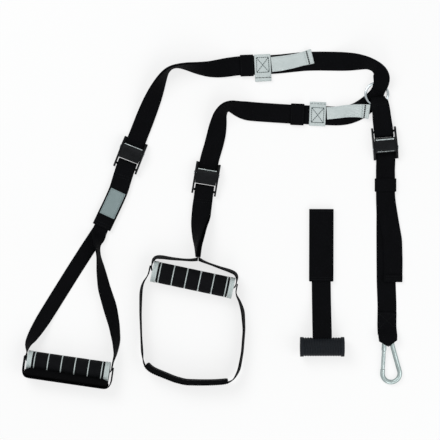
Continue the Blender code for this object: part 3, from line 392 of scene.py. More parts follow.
@dataclass
class Ribbon:
    """Strap through rungs, with rounded edges and a UV in metres."""

    name: str
    rungs: list[Rung]
    closed: bool = False
    columns: int = 4
    corner: float = 1.0

    def section(self, rung: Rung) -> list[Point]:
        """Give the corners of one cross-section as across and up distances.

        Args:
            rung: Where the section lies.

        Returns:
            The corners.
        """
        bend = min(rung.half_t, rung.half) * self.corner
        flat = rung.half - bend
        rise = rung.half_t - bend
        half_ring = [(flat * (1 - 2 * i / self.columns), rung.half_t)
                     for i in range(self.columns + 1)]
        half_ring += [(-flat - bend * sin(angle), rise + bend * cos(angle))
                      for angle in map(radians, EDGE_ANGLES)]
        return half_ring + [(-across, -up) for across, up in half_ring]

    def build(self) -> Piece:
        """Build the strap.

        Returns:
            The object.
        """
        loops, lengths, last = [], [0.0], self.rungs[0].side
        for i, rung in enumerate(self.rungs):
            flip = -1 if rung.side.dot(last) < 0 else 1
            side, facing = rung.side * flip, rung.facing * flip
            last = side
            loops.append([rung.centre + side * across + facing * up
                          for across, up in self.section(rung)])
            after = self.rungs[(i + 1) % len(self.rungs)]
            lengths.append(lengths[-1] + (after.centre - rung.centre).length)
        widest = max(self.rungs, key=lambda rung: rung.half)
        work = bmesh.new()
        skin(work, loops, self.closed, girth_marks(self.section(widest)), lengths)
        return publish(self.name, work)


def corner(across: float, height: float, radius: float, begin: float, end: float,
           steps: int = 6) -> list[Point]:
    """List points round a bend, between two angles in degrees."""
    angles = [radians(mix(begin, end, step / steps)) for step in range(steps + 1)]
    return [(across + radius * cos(a), height + radius * sin(a)) for a in angles]


def wrap_path(half: float, low: float, high: float, bulge: float = 0.0) -> list[Point]:
    """Give the path of a band round plies, with a loose fold past one edge.

    Args:
        half: Half the width of the plies.
        low: Height of the band's middle below them.
        high: Height of the band's middle above them.
        bulge: How far the loose fold stands out.

    Returns:
        Side and height places round the band.
    """
    bend = LAYOUT.half_t + LAYOUT.gap
    middle = (low + high) / 2
    path = [(half * share, low) for share in FLAT_SHARES[2::-1]]
    path += corner(half + bulge, low + bend, bend, -90, 0)
    path += [(half + bulge + bend, middle)]
    path += corner(half + bulge, high - bend, bend, 0, 90)
    if bulge:
        path += [(half + bend + bulge * share, mix(middle, high, rise))
                 for share, rise in FOLD_SHARES]
    path += [(half * share, high) for share in FLAT_SHARES]
    path += corner(-half, high - bend, bend, 90, 180)
    path += [(-half - bend, middle)]
    path += corner(-half, low + bend, bend, 180, 270)
    return path + [(half * share, low) for share in FLAT_SHARES[:2:-1]]


def band(name: str, route: Route, mark: float, length: float, path: Sequence[Point]) -> Piece:
    """Build a closed band round a strap.

    Args:
        name: Name of the piece.
        route: The route of the strap inside.
        mark: Distance of the band's middle along the route.
        length: Length of the band along the route.
        path: Side and height places round the band.

    Returns:
        The object.
    """
    centre, tangent, side, normal, _ = route.at(mark)
    rungs = []
    for i, (across, height) in enumerate(path):
        before, after = path[i - 1], path[(i + 1) % len(path)]
        step = Vector((after[0] - before[0], after[1] - before[1])).normalized()
        rungs.append(Rung(centre + side * across + normal * height, tangent,
                          side * step.y - normal * step.x, length / 2, LAYOUT.half_t))
    return Ribbon(name, rungs, closed=True).build()


def add_tube(work: Work, points: Sequence[Vector], radius: float | Sequence[float],
             sides: int, closed: bool = False) -> None:
    """Sweep a round section along points into a mesh.

    Args:
        work: The mesh to add to.
        points: The middle line.
        radius: One radius, or one for each point.
        sides: Corners of the section.
        closed: Whether the line is a ring.
    """
    loops, normal, count = [], None, len(points)
    lengths = [0.0]
    for i, point in enumerate(points):
        before = points[i - 1] if closed or i else point
        after = points[(i + 1) % count] if closed or i < count - 1 else point
        tangent = (after - before).normalized()
        normal = normal or tangent.orthogonal().normalized()
        normal = (normal - tangent * normal.dot(tangent)).normalized()
        other = tangent.cross(normal)
        size = radius if isinstance(radius, float) else radius[i]
        loops.append([point + size * (normal * cos(a) + other * sin(a))
                      for a in (2 * pi * k / sides for k in range(sides))])
        lengths.append(lengths[-1] + (points[(i + 1) % count] - point).length)
    girth = 2 * pi * (radius if isinstance(radius, float) else max(radius))
    skin(work, loops, closed, [girth * k / sides for k in range(sides + 1)], lengths)


def rounded(outline: Sequence[Point], radius: float, steps: int = 4) -> list[Point]:
    """Round the corners of a closed outline.

    Args:
        outline: The corners.
        radius: How far from each corner the bend starts, at most.
        steps: Points of each bend.

    Returns:
        The corners of the rounded outline.
    """
    points = []
    for i, here in enumerate(outline):
        spot_here = Vector(here)
        before, after = Vector(outline[i - 1]), Vector(outline[(i + 1) % len(outline)])
        back, ahead = before - spot_here, after - spot_here
        start = spot_here + back * min(BEND_SHARE, radius / back.length)
        end = spot_here + ahead * min(BEND_SHARE, radius / ahead.length)
        for step in range(steps + 1):
            share = step / steps
            point = (start * (1 - share) ** 2 + spot_here * 2 * share * (1 - share)
                     + end * share ** 2)
            points.append((point.x, point.y))
    return points


def add_lathe(work: Work, outline: Sequence[Point], placing: Matrix, segments: int = 56) -> None:
    """Revolve a closed outline of along and radius about the X axis into a mesh.

    Args:
        work: The mesh to add to.
        outline: Its corners.
        placing: Where the axis lies.
        segments: Sides of the solid.
    """
    loops = []
    for k in range(segments):
        angle = 2 * pi * k / segments
        loops.append([placing @ Vector((along, radius * cos(angle), radius * sin(angle)))
                      for along, radius in outline])
    girth = 2 * pi * max(radius for _, radius in outline)
    skin(work, loops, True, girth_marks(outline),
         [girth * k / segments for k in range(segments + 1)])


def add_prism(work: Work, outline: Sequence[Point], low: float, high: float,
              placing: Matrix, bevel: float) -> None:
    """Extrude an outline of X and Z along Y, with bevelled rims, into a mesh.

    Args:
        work: The mesh to add to.
        outline: Corners as X and Z.
        low: First place along Y.
        high: Last place along Y.
        placing: Where the outline's frame lies.
        bevel: Width of the bevel round both rims.
    """
    middle = sum((Vector(point) for point in outline), Vector((0, 0))) / len(outline)
    reach = max((Vector(point) - middle).length for point in outline)
    rim, rings = bevel * RIM_SHARE, []
    for place, inset in ((low, bevel), (low + rim, rim), (low + bevel, 0.0),
                         (high - bevel, 0.0), (high - rim, rim), (high, bevel)):
        shrink = 1 - inset / reach
        ring = []
        for point in outline:
            flat = middle + (Vector(point) - middle) * shrink
            ring.append(placing @ Vector((flat.x, place, flat.y)))
        rings.append(ring)
    skin(work, rings, False)


def carve(piece: Piece, tool: Piece) -> Piece:
    """Cut one object out of another and remove the cutter.

    Args:
        piece: What is cut.
        tool: The cutter.

    Returns:
        The cut piece.
    """
    step = piece.modifiers.new("cut", "BOOLEAN")
    step.object = tool
    step.solver = "EXACT"
    bpy.context.view_layer.update()
    shape = piece.evaluated_get(bpy.context.evaluated_depsgraph_get())
    mesh = bpy.data.meshes.new_from_object(shape)
    piece.modifiers.clear()
    piece.data = mesh
    mesh.shade_smooth()
    mesh.set_sharp_from_angle(angle=CUT_ANGLE)
    bpy.data.objects.remove(tool)
    return piece


def softened(node: str, name: str, width: float) -> Piece:
    """Copy a frame node with its hard edges bevelled.

    Args:
        node: The node to copy.
        name: Name of the new piece.
        width: Width of the bevel.

    Returns:
        The copy, which stands where the node stands.
    """
    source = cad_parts[node].data
    work = bmesh.new()
    verts = [work.verts.new(vert.co) for vert in source.vertices]
    for face in source.polygons:
        corners = [verts[i] for i in face.vertices]
        if len(set(corners)) > 2 and not work.faces.get(corners):
            work.faces.new(corners)
    bmesh.ops.remove_doubles(work, verts=work.verts, dist=WELD)
    bmesh.ops.dissolve_limit(work, angle_limit=FLAT_ANGLE, verts=work.verts, edges=work.edges)
    piece = publish(name, work)
    bevel = piece.modifiers.new("edges", "BEVEL")
    bevel.width = width
    bevel.segments = 2
    bevel.limit_method = "ANGLE"
    bevel.angle_limit = SOFT_ANGLE
    bevel.use_clamp_overlap = True
    return piece


@dataclass
class Seam:
    """Rows of thread that lie on a strap, each stitch a small arched dash."""

    name: str
    route: Route
    height: float
    stitch: float = 0.0026
    space: float = 0.0009
    thread: float = 0.00038
    sides: int = 6
    work: Work = field(default_factory=bmesh.new)

    def place(self, mark: float, across: float) -> tuple[Vector, Vector]:
        """Give the point on the strap's face and its normal."""
        centre, _, side, normal, _ = self.route.at(mark)
        return centre + side * across + normal * self.height, normal

    def line(self, *corners: Point) -> "Seam":
        """Sew along straight lines, with stitches that dive into the strap at both ends.

        Args:
            corners: Places as distance along the route and distance across.

        Returns:
            The seam itself.
        """
        for first, last in zip(corners, corners[1:]):
            span = dist(first, last)
            count = max(1, round(span / (self.stitch + self.space)))
            for i in range(count):
                points, sizes = [], []
                for depth, size, step in STITCH_SHARES:
                    share = min(1.0, i / count + self.stitch / span * step)
                    point, normal = self.place(*(mix(a, b, share) for a, b in zip(first, last)))
                    points.append(point + normal * self.thread * depth)
                    sizes.append(self.thread * size)
                add_tube(self.work, points, sizes, self.sides)
        return self

    def across(self, reach: float, *marks: float) -> "Seam":
        """Sew straight across the strap at some distances along it.

        Args:
            reach: How far to either side.
            marks: The distances.

        Returns:
            The seam itself.
        """
        for mark in marks:
            self.line((mark, -reach), (mark, reach))
        return self

    def box(self, mark: float, end: float, across: float, far: float) -> "Seam":
        """Sew a box with a cross in it."""
        return self.line((mark, across), (end, across), (end, far), (mark, far), (mark, across)
                         ).line((mark, across), (end, far)).line((mark, far), (end, across))

    def sew(self, trim: "Trim", body: Body = Body.WEBBING) -> None:
        """Finish the rows of thread and let them ride on a body."""
        enrol(publish(self.name, self.work), body, trim)


@dataclass
class Wiring:
    """Short hand for placing and joining shader nodes."""

    tree: bpy.types.NodeTree

    def add(self, kind: str, **settings: object) -> Node:
        """Place a node and set its properties.

        Args:
            kind: Type of the node.
            settings: Its properties by name.

        Returns:
            The node.
        """
        node = self.tree.nodes.new(kind)
        for name, value in settings.items():
            setattr(node, name, value)
        return node

    def join(self, target: Socket, value: object) -> None:
        """Link a socket, or set its value where a plain number or colour is given.

        Args:
            target: The input.
            value: What it gets.
        """
        if isinstance(value, Socket):
            self.tree.links.new(value, target)
        else:
            target.default_value = value

    def feed(self, node: Node, values: dict) -> Node:
        """Feed inputs of a node, by their names or places.

        Args:
            node: The node.
            values: Sockets, numbers or colours for its inputs.

        Returns:
            The node.
        """
        for name, value in values.items():
            self.join(node.inputs[name], value)
        return node

    def math(self, operation: str, *values: object, clamp: bool = False) -> Socket:
        """Place a Math node and give its result, kept between 0 and 1 where clamp is set."""
        node = self.add("ShaderNodeMath", operation=operation, use_clamp=clamp)
        return self.feed(node, dict(enumerate(values))).outputs[0]

    def scaled(self, vector: Socket, scale: object) -> Socket:
        """Scale a vector by a socket or a number."""
        node = self.add("ShaderNodeVectorMath", operation="SCALE")
        return self.feed(node, {0: vector, "Scale": scale}).outputs[0]

    def noise(self, vector: Socket, scale: float, detail: float = 3.0,
              roughness: float = 0.6) -> Socket:
        """Place a Noise texture and give its value.

        Args:
            vector: Where it is read.
            scale: Its scale.
            detail: Its octaves.
            roughness: How strong its fine octaves are.

        Returns:
            The value.
        """
        return self.feed(self.add("ShaderNodeTexNoise"), {
            "Vector": vector, "Scale": scale, "Detail": detail,
            "Roughness": roughness}).outputs["Fac"]

    def blend(self, share: object, low: object, high: object) -> Socket:
        """Blend two colours by a mask."""
        node = self.add("ShaderNodeMix", data_type="RGBA")
        return self.feed(node, {0: share, 6: low, 7: high}).outputs[2]

    def between(self, value: object, low: float, high: float, start: float = 0.0,
                end: float = 1.0) -> Socket:
        """Stretch a value's range onto another, held at its ends.

        Args:
            value: The value.
            low: Its first end.
            high: Its last end.
            start: Result at the first end.
            end: Result at the last end.

        Returns:
            The result.
        """
        node = self.add("ShaderNodeMapRange")
        return self.feed(node, dict(enumerate((value, low, high, start, end)))).outputs[0]


@dataclass(frozen=True)
class Group:
    """Shader node group with named inputs and outputs, built once."""

    name: str
    inputs: tuple[str, ...]
    outputs: tuple[str, ...]
    draw: Callable[[Wiring, Sockets], Sockets]

    def tree(self) -> bpy.types.NodeTree:
        """Find the group, or build it the first time.

        Returns:
            The group's node tree.
        """
        found = bpy.data.node_groups.get(self.name)
        if found:
            return found
        tree = bpy.data.node_groups.new(self.name, "ShaderNodeTree")
        for name in self.inputs:
            kind = "NodeSocketVector" if name == "Vector" else "NodeSocketFloat"
            tree.interface.new_socket(name=name, in_out="INPUT", socket_type=kind)
        for name in self.outputs:
            tree.interface.new_socket(name=name, in_out="OUTPUT", socket_type="NodeSocketFloat")
        wiring = Wiring(tree)
        start, end = wiring.add("NodeGroupInput"), wiring.add("NodeGroupOutput")
        results = self.draw(wiring, {name: start.outputs[name] for name in self.inputs})
        wiring.feed(end, results)
        return tree

    def use(self, wiring: Wiring, **values: object) -> Sockets:
        """Place the group in a material, feed its inputs and give its outputs by name."""
        node = wiring.feed(wiring.add("ShaderNodeGroup", node_tree=self.tree()), values)
        return {name: node.outputs[name] for name in self.outputs}


def draw_weave(wiring: Wiring, given: Sockets) -> Sockets:
    """Draw ribs of warp thread with picks that step from rib to rib.

    Args:
        wiring: The group's wiring.
        given: Its inputs.

    Returns:
        Its outputs.
    """
    repeat, shift, lean, roundness, arch = 4.0, 0.5, 0.6, 0.55, 0.6
    parts = wiring.feed(wiring.add("ShaderNodeSeparateXYZ"), {0: given["Vector"]})
    across = wiring.math("MULTIPLY", parts.outputs[0], given["Across"])
    along = wiring.math("MULTIPLY", parts.outputs[1], given["Along"])
    place = wiring.math("SUBTRACT", wiring.math("FRACT", across), 0.5)
    rib = wiring.math("SUBTRACT", 1.0, wiring.math(
        "MULTIPLY", wiring.math("ABSOLUTE", place), 2.0))
    turned = wiring.math("PINGPONG", wiring.math("FLOOR", across), repeat)
    step = wiring.math("MULTIPLY", turned, shift)
    slant = wiring.math("MULTIPLY", place, lean)
    pick = wiring.math("FRACT", wiring.math("ADD", wiring.math("ADD", along, step), slant))
    bump = wiring.math("SINE", wiring.math("MULTIPLY", pick, pi))
    round_rib = wiring.math("POWER", rib, roundness)
    height = wiring.math("MULTIPLY", round_rib, wiring.math("ADD", wiring.math(
        "MULTIPLY", bump, arch), 1 - arch))
    return {"Height": height, "Groove": wiring.math("SUBTRACT", 1.0, height, clamp=True)}


def draw_mottle(wiring: Wiring, given: Sockets) -> Sockets:
    """Draw broad soft patches and fine specks.

    Args:
        wiring: The group's wiring.
        given: Its inputs.

    Returns:
        Its outputs.
    """
    place = wiring.scaled(given["Vector"], given["Scale"])
    patches = wiring.noise(place, scale=1.0, detail=4.0)
    specks = wiring.noise(place, scale=14.0, detail=2.0, roughness=0.7)
    return {"Patches": wiring.between(patches, low=0.35, high=0.65),
            "Specks": wiring.between(specks, low=0.6, high=0.75)}


def draw_edge_wear(wiring: Wiring, given: Sockets) -> Sockets:
    """Draw a mask of rubbed edges, broken up by noise.

    Args:
        wiring: The group's wiring.
        given: Its inputs.

    Returns:
        Its outputs.
    """
    geometry = wiring.add("ShaderNodeNewGeometry")
    sharp = wiring.between(geometry.outputs["Pointiness"], low=0.51, high=0.57)
    noise = wiring.noise(given["Vector"], scale=420.0, detail=4.0, roughness=0.7)
    broken = wiring.between(noise, low=0.42, high=0.62)
    mask = wiring.math("MULTIPLY", sharp, broken, clamp=True)
    return {"Mask": wiring.math("MULTIPLY", mask, given["Amount"], clamp=True)}


def draw_grain(wiring: Wiring, given: Sockets) -> Sockets:
    """Draw fine moulded grain over faint longer waves.

    Args:
        wiring: The group's wiring.
        given: Its inputs.

    Returns:
        Its outputs.
    """
    wave_share = 0.6
    place = wiring.scaled(given["Vector"], given["Scale"])
    fine = wiring.noise(place, scale=1.0, detail=2.0, roughness=0.5)
    wave = wiring.noise(place, scale=0.12, detail=2.0, roughness=0.5)
    return {"Height": wiring.math("ADD", fine, wiring.math("MULTIPLY", wave, wave_share))}


WEAVE = Group("weave", ("Vector", "Across", "Along"), ("Height", "Groove"), draw_weave)
MOTTLE = Group("mottle", ("Vector", "Scale"), ("Patches", "Specks"), draw_mottle)
EDGE_WEAR = Group("edge_wear", ("Vector", "Amount"), ("Mask",), draw_edge_wear)
GRAIN = Group("grain", ("Vector", "Scale"), ("Height",), draw_grain)
Colour = tuple[float, float, float, float]


def tone(code: str) -> Colour:
    """Turn a six digit colour of the screen into a linear one.

    Args:
        code: Its hexadecimal digits.

    Returns:
        The colour.
    """
    values = []
    for i in (0, 2, 4):
        value = int(code[i:i + 2], 16) / 255
        values.append(value / 12.92 if value <= 0.04045 else ((value + 0.055) / 1.055) ** 2.4)
    return (values[0], values[1], values[2], 1.0)


@dataclass(frozen=True)
class Finish:
    """Finish, with the record's slot that it belongs to."""

    slot: str

    def material(self, name: str) -> bpy.types.Material:
        """Find the material, or build it the first time.

        Args:
            name: Name of the material.

        Returns:
            The material.
        """
        found = bpy.data.materials.get(name)
        if found:
            return found
        material = bpy.data.materials.new(name)
        material.use_nodes = True
        wiring = Wiring(material.node_tree)
        wiring.tree.nodes.clear()
        shader = wiring.add("ShaderNodeBsdfPrincipled")
        wiring.feed(wiring.add("ShaderNodeOutputMaterial"), {0: shader.outputs[0]})
        self.dress(wiring, shader, wiring.add("ShaderNodeTexCoord"))
        return material

    def dress(self, wiring: Wiring, shader: Node, place: Node) -> None:
        """Feed the shader; each kind of finish says how."""
        raise NotImplementedError

    @staticmethod
    def bump(wiring: Wiring, shader: Node, height: Socket, strength: float, depth: float) -> None:
        """Feed the shader's normal from a height.

        Args:
            wiring: The material's wiring.
            shader: Its shader.
            height: The height.
            strength: How much it shows.
            depth: How deep it is.
        """
        node = wiring.feed(wiring.add("ShaderNodeBump"), {
            "Strength": strength, "Distance": depth, "Height": height})
        wiring.join(shader.inputs["Normal"], node.outputs[0])


@dataclass(frozen=True)
class WovenFinish(Finish):
    """Webbing or cloth, with woven ribs over its UV, soft patches and lint."""

    ground: str
    thread: str
    patch: str
    across: float = 900.0
    along: float = 620.0
    depth: float = 0.00022
    roughness: float = 0.85
    gloss: float = 0.25
    sheen: float = 0.1
    lint: float = 0.12
    lint_colour: str = "8d9090"
    patches: float = 42.0
    rib_shine: float = 0.14

    def dress(self, wiring: Wiring, shader: Node, place: Node) -> None:
        """Feed colour, roughness and bump from the weave.

        Args:
            wiring: The material's wiring.
            shader: Its shader.
            place: Its texture coordinates.
        """
        weave = WEAVE.use(wiring, Vector=place.outputs["UV"], Across=self.across,
                          Along=self.along)
        mottle = MOTTLE.use(wiring, Vector=place.outputs["Object"], Scale=self.patches)
        thread = wiring.blend(mottle["Patches"], tone(self.thread), tone(self.patch))
        lint = wiring.math("MULTIPLY", mottle["Specks"], self.lint)
        base = wiring.blend(weave["Groove"], thread, tone(self.ground))
        roughness = wiring.between(weave["Groove"], low=0.0, high=1.0,
                                   start=self.roughness - self.rib_shine, end=self.roughness)
        wiring.feed(shader, {
            "Base Color": wiring.blend(lint, base, tone(self.lint_colour)),
            "Roughness": roughness, "Specular IOR Level": self.gloss,
            "Sheen Weight": self.sheen, "Sheen Roughness": 0.5})
        self.bump(wiring, shader, weave["Height"], strength=0.8, depth=self.depth)


@dataclass(frozen=True)
class SolidFinish(Finish):
    """Finish without a weave: soft patches, fine grain and paler rubbed edges."""

    base: str
    patch: str
    rubbed: str
    grain: float = 1500.0
    roughness: float = 0.5
    gloss: float = 0.5
    wear: float = 0.5
    patches: float = 60.0

    def surface(self, wiring: Wiring, shader: Node, place: Node) -> Sockets:
        """Feed colour and gloss.

        Args:
            wiring: The material's wiring.
            shader: Its shader.
            place: Its texture coordinates.

        Returns:
            The patches, the mask of rubbed edges and the height of the grain.
        """
        spot = place.outputs["Object"]
        mottle = MOTTLE.use(wiring, Vector=spot, Scale=self.patches)
        wear = EDGE_WEAR.use(wiring, Vector=spot, Amount=self.wear)
        grain = GRAIN.use(wiring, Vector=spot, Scale=self.grain)
        base = wiring.blend(mottle["Patches"], tone(self.base), tone(self.patch))
        wiring.feed(shader, {"Base Color": wiring.blend(wear["Mask"], base, tone(self.rubbed)),
                             "Specular IOR Level": self.gloss})
        return {**mottle, **wear, **grain}


@dataclass(frozen=True)
class MouldedFinish(SolidFinish):
    """Plastic, rubber or foam with a moulded grain, rubbed paler on its edges."""

    depth: float = 0.0001
    spread: float = 0.08

    def dress(self, wiring: Wiring, shader: Node, place: Node) -> None:
        """Feed roughness and bump from the grain.

        Args:
            wiring: The material's wiring.
            shader: Its shader.
            place: Its texture coordinates.
        """
        height = self.surface(wiring, shader, place)["Height"]
        wiring.feed(shader, {"Roughness": wiring.between(
            height, low=0.4, high=1.1, start=self.roughness - self.spread,
            end=self.roughness + self.spread)})
        self.bump(wiring, shader, height, strength=0.6, depth=self.depth)


@dataclass(frozen=True)
class MetalFinish(SolidFinish):
    """Bare, plated or painted metal with fine scratches and worn edges."""

    grain: float = 900.0
    roughness: float = 0.3
    wear: float = 0.6
    patches: float = 90.0
    metal: float = 1.0
    polish: float = 0.07
    tarnish: float = 0.09

    def dress(self, wiring: Wiring, shader: Node, place: Node) -> None:
        """Feed metal, roughness and bump from patches, wear and scratches.

        Args:
            wiring: The material's wiring.
            shader: Its shader.
            place: Its texture coordinates.
        """
        surface = self.surface(wiring, shader, place)
        metal = 1.0 if self.metal == 1 else wiring.between(
            surface["Mask"], low=0.0, high=1.0, start=self.metal, end=1.0)
        wiring.feed(shader, {"Metallic": metal, "Roughness": wiring.between(
            surface["Patches"], low=0.0, high=1.0, start=self.roughness - self.polish,
            end=self.roughness + self.tarnish)})
        self.bump(wiring, shader, surface["Height"], strength=0.25, depth=0.00006)


THREAD = {"across": 2600.0, "along": 1800.0, "depth": 0.0001}
MATT_BLACK = {"gloss": 0.04, "sheen": 0.0, "lint": 0.02}


class Trim(Enum):
    """Finishes of the trainer's pieces."""

    BLACK_WEBBING = WovenFinish("black_webbing", "030304", "0b0c0f", "08090b", **MATT_BLACK)
    GREY_WEBBING = WovenFinish("grey_webbing", "a7b3b2", "dde5e5", "d1dada", roughness=0.8)
    PAD_CLOTH = WovenFinish("pad_cloth", "030304", "0b0c0e", "08090b", across=1600.0, along=1600.0,
                            depth=0.0001, **MATT_BLACK)
    LABEL_CLOTH = WovenFinish("label_grey", "748384", "8f9fa0", "859596", across=2400.0,
                              along=2400.0, depth=0.00006)
    # Near-black lines on the grey webbing that paint shade: a line in the adjuster loop's fold
    # groove, and the pull tabs' hem stitches darkened for the deep seam.
    SLIT_THREAD = WovenFinish("grey_webbing", "1c2121", "2f3636", "262c2c", **THREAD)
    GREY_THREAD = WovenFinish("grey_webbing", "3b4848", "566464", "4a5757", **THREAD)
    BLACK_THREAD = WovenFinish("black_webbing", "08090a", "191b1e", "141618", gloss=0.1, sheen=0.0,
                               lint=0.03, **THREAD)
    LABEL_THREAD = WovenFinish("label_grey", "4b5859", "647273", "5a6869", **THREAD)
    GRIP_FOAM = MouldedFinish("grip_foam", "07080a", "0c0d0f", "1a1c1f", grain=2600.0,
                              depth=0.0003, roughness=0.82, gloss=0.08, wear=0.3)
    GRIP_PLASTIC = MouldedFinish("grip_plastic", "b9c4c3", "adb8b7", "d0d8d7", roughness=0.45,
                                 gloss=0.4)
    CORE_PLASTIC = MouldedFinish("core_plastic", "1a1c1f", "222528", "3c4045")
    ROLLER_RUBBER = MouldedFinish("roller_rubber", "090d12", "0d1217", "1d2329", roughness=0.6,
                                  gloss=0.14)
    BUCKLE_BLACK = MetalFinish("buckle_black", "08090b", "0b0c0f", "5d6468", metal=0.0, gloss=0.12,
                               roughness=0.34, wear=0.06)
    # Pale metal of the levers' edge lips, a painted highlight: it keeps a bright line along the
    # edges that face the light.
    BUCKLE_WORN = MetalFinish("buckle_black", "a3adad", "8b9595", "c9d0d0", metal=0.6,
                              roughness=0.36)
    PIN_STEEL = MetalFinish("pin_steel", "9aa2a5", "838b8e", "d6dcde")
    SPRING_STEEL = MetalFinish("spring_steel", "8b9396", "747c80", "c5ccce")
    HOOK_ZINC = MetalFinish("hook_zinc", "a8b5b4", "93a09f", "c9d3d2", roughness=0.38,
                            grain=1400.0)
    RING_CHROME = MetalFinish("ring_chrome", "b9c1c4", "a1aaad", "e6ebec", roughness=0.17)

    def material(self) -> bpy.types.Material:
        """Give the material, which is named after this choice."""
        return self.value.material(f"{self.name.lower()}_finish")


def enrol(piece: Piece, body: Body, trim: Trim, *nodes: str) -> None:
    """Dress a piece, let it ride on its body and let it stand for frame nodes.

    Args:
        piece: The object.
        body: The body it rides on.
        trim: Its finish.
        nodes: The frame nodes that it replaces.
    """
    piece.data.materials.clear()
    piece.data.materials.append(trim.material())
    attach(piece, body.value)
    if nodes:
        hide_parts(*nodes)
    LOG.info("%s rides on %s", piece.name, body.value)


def carried(node: str, trim: Trim) -> None:
    """Keep a frame node as it is and give it a finish.

    Args:
        node: Name of the node.
        trim: Its finish.
    """
    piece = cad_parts[node]
    piece.data.materials.clear()
    piece.data.materials.append(trim.material())
    LOG.info("%s keeps its own shape", node)


def lay_strap(label: str, rungs: list[Rung], node: str) -> None:
    """Build a strap of black webbing through rungs, in place of a frame node."""
    enrol(Ribbon(f"{label}_webbing", rungs).build(), Body.WEBBING, Trim.BLACK_WEBBING, node)


def lay_keeper(name: str, node: str, route: Route, mark: float, length: float, half: float,
               body: Body = Body.WEBBING) -> None:
    """Build a black band round two plies of a strap.

    Args:
        name: Name of the piece.
        node: The frame node that it replaces.
        route: The route of the strap inside.
        mark: Distance of the band's middle along the route.
        length: Length of the band along the route.
        half: Half the width of the plies.
        body: The body it rides on.
    """
    path = wrap_path(half, -LAYOUT.pitch, 2 * LAYOUT.pitch)
    enrol(band(name, route, mark, length, path), body, Trim.BLACK_WEBBING, node)


# Stations of the straps: photo column and row, then tilt in degrees, lift in plies and share
# of the width, where they differ from LEVEL.
LEG_STATIONS = (
    (127.2, 164.2), (130.7, 155.3), (136.6, 140.4), (138.6, 135.2), (142.4, 125.5, 6),
    (147, 113.5, 18), (151.8, 101.5, 30), (156.8, 89.5, 47), (161.2, 79.5, 65),
    (165.8, 71.6, 81), (171.5, 67, 90), (178, 65.8, 88), (187, 66.4, 75), (198, 68.2, 59),
    (209, 69.2, 42), (219, 68.6, 26), (229, 67.2, 8, 0.4), (238, 66, 0, 1),
    (247, 65.7, 0, 1), (262, 65.2, 0, 1), (272, 64.6, 0, 1), (281, 63.9, 0, 0.2),
    (292, 62.7), (305, 61.4), (318, 61.1), (332, 61.3, 4), (346, 61.8, 18),
    (358, 62.2, 38), (367, 63.3, 56), (374.5, 66.6, 62, 0.4), (379.6, 72, 48, 2.2, 0.95),
    (381, 77.6, 16, 4.6, 0.88), (381.2, 82.6, 0, 5.1, 0.84), (380.4, 85.6, 0, 5.1, 0.8),
    (379, 88.2, 0, 4.9, 0.72), (377.9, 90.8, 0, 2.2, 0.7), (376.7, 93.8, 0, 0, 0.78),
    (374.2, 98.6, 0, 0, 0.9), (369, 103.4, 0, 0, 0.92), (363.6, 107.6, -5, 0, 0.94),
    (356.5, 112.2, -12, 0, 0.98), (347, 115.4, -12), (337, 116.2, -4, 0.4),
    (327, 115.8, 0, 1), (317, 115.3, 0, 1), (304, 114.8, 0, 1), (290, 114.2, 0, 1),
    (282, 113.7, 0, 0.5), (272, 113), (260, 112.2), (248, 111.2, -10),
    (238.5, 108.4, -40), (230.5, 105.6, -63), (223.8, 107.4, -67), (219.4, 114.6, -52),
    (217.8, 124.5, -30), (216.2, 135, -12), (213.6, 146), (210.6, 155.6), (208.8, 163.1),
    (206.1, 178.9), (204.6, 188),
)
ANCHOR_LOOP_STATIONS = (
    (377.4, 90, 0, 1, 0.96), (377.6, 98, 0, 1, 0.96), (378.8, 103, 0, 1, 0.96),
    (380.3, 108, 0, 1, 0.96), (381.4, 117, 0, 0.7, 0.97), (382.6, 126, 0, 0.2),
    (383.5, 133), (384, 139),
)
MAIN_STATIONS = (
    (384, 137.5), (384.5, 143.5), (385.6, 156.5), (385.6, 164), (385.3, 169.5, 0, 0.2),
    (385.3, 175, 0, 1), (385.3, 195.5, 0, 1), (385.5, 203, 0, 0.2), (385.9, 212),
    (385.8, 230), (385.9, 255), (386.1, 281), (387, 306), (386.7, 326), (387.2, 336),
    (387.7, 344), (388.3, 352),
)
MAIN_TAIL_STATIONS = (
    (385.3, 169.5, 0, 1.2), (385.3, 175, 0, 2), (385.3, 195.5, 0, 2), (386.1, 203, 0, 1.3),
    (387.4, 211, 0, 1), (390.4, 229, 0, 1), (392.5, 240, 0, 1), (393, 262, 0, 1),
    (392.7, 281.5, 0, 1),
)
LEFT_NECK_STATIONS = (
    (127.9, 162.4), (125.9, 167.6), (123.2, 175.5), (118.9, 190), (113.4, 202.5), (107.4, 215),
    (101.6, 227.2),
)
RIGHT_NECK_STATIONS = (
    (204.9, 186), (204, 191.6), (203.3, 198), (202.2, 207.5, 8), (201.7, 217.4, 20),
    (200.6, 228.8, 50), (200.2, 238.8, 66), (200, 246, 80), (200, 256.8, 88),
)
LEFT_BRANCH_OUT = (
    (99.4, 231.4, 0, 0.9), (93, 241, 0, 0.2), (86, 251.6), (73, 272), (58, 296),
    (45, 317, 8), (35.4, 332.6, 34), (29.4, 343, 56, 0.8), (28.7, 348.6, 80, 1.9),
)
LEFT_BRANCH_BACK = (
    (113.2, 362.3, 90, 2.3), (115.9, 354, 83, 1.4), (116.6, 340, 60, 0.2), (114.5, 325, 46),
    (110, 306.5, 24), (104.4, 288, 36), (101.2, 270, 58), (99, 256, 80, 0.4),
    (98.2, 247, 76, 1.6), (98.4, 240, 50, 2.4), (99.2, 233.4, 8, 2.05),
)
RIGHT_BRANCH_OUT = (
    (197.9, 259, 80, 0.2), (192.6, 260, 83), (184, 259.6, 86), (171, 258.4, 82),
    (162, 256.8, 79, 0.4), (155.2, 257, 77, 1.4), (152.8, 261.6, 83, 2.4),
)
RIGHT_BRANCH_BACK = (
    (237.4, 277.6, 83, 2.5), (235.4, 273, 78, 1.6), (228.9, 270.2, 81, 0.5), (221, 267.8, 84),
    (210, 263.8, 87), (202.4, 261, 84), (199.2, 259, 80, 0.2),
)
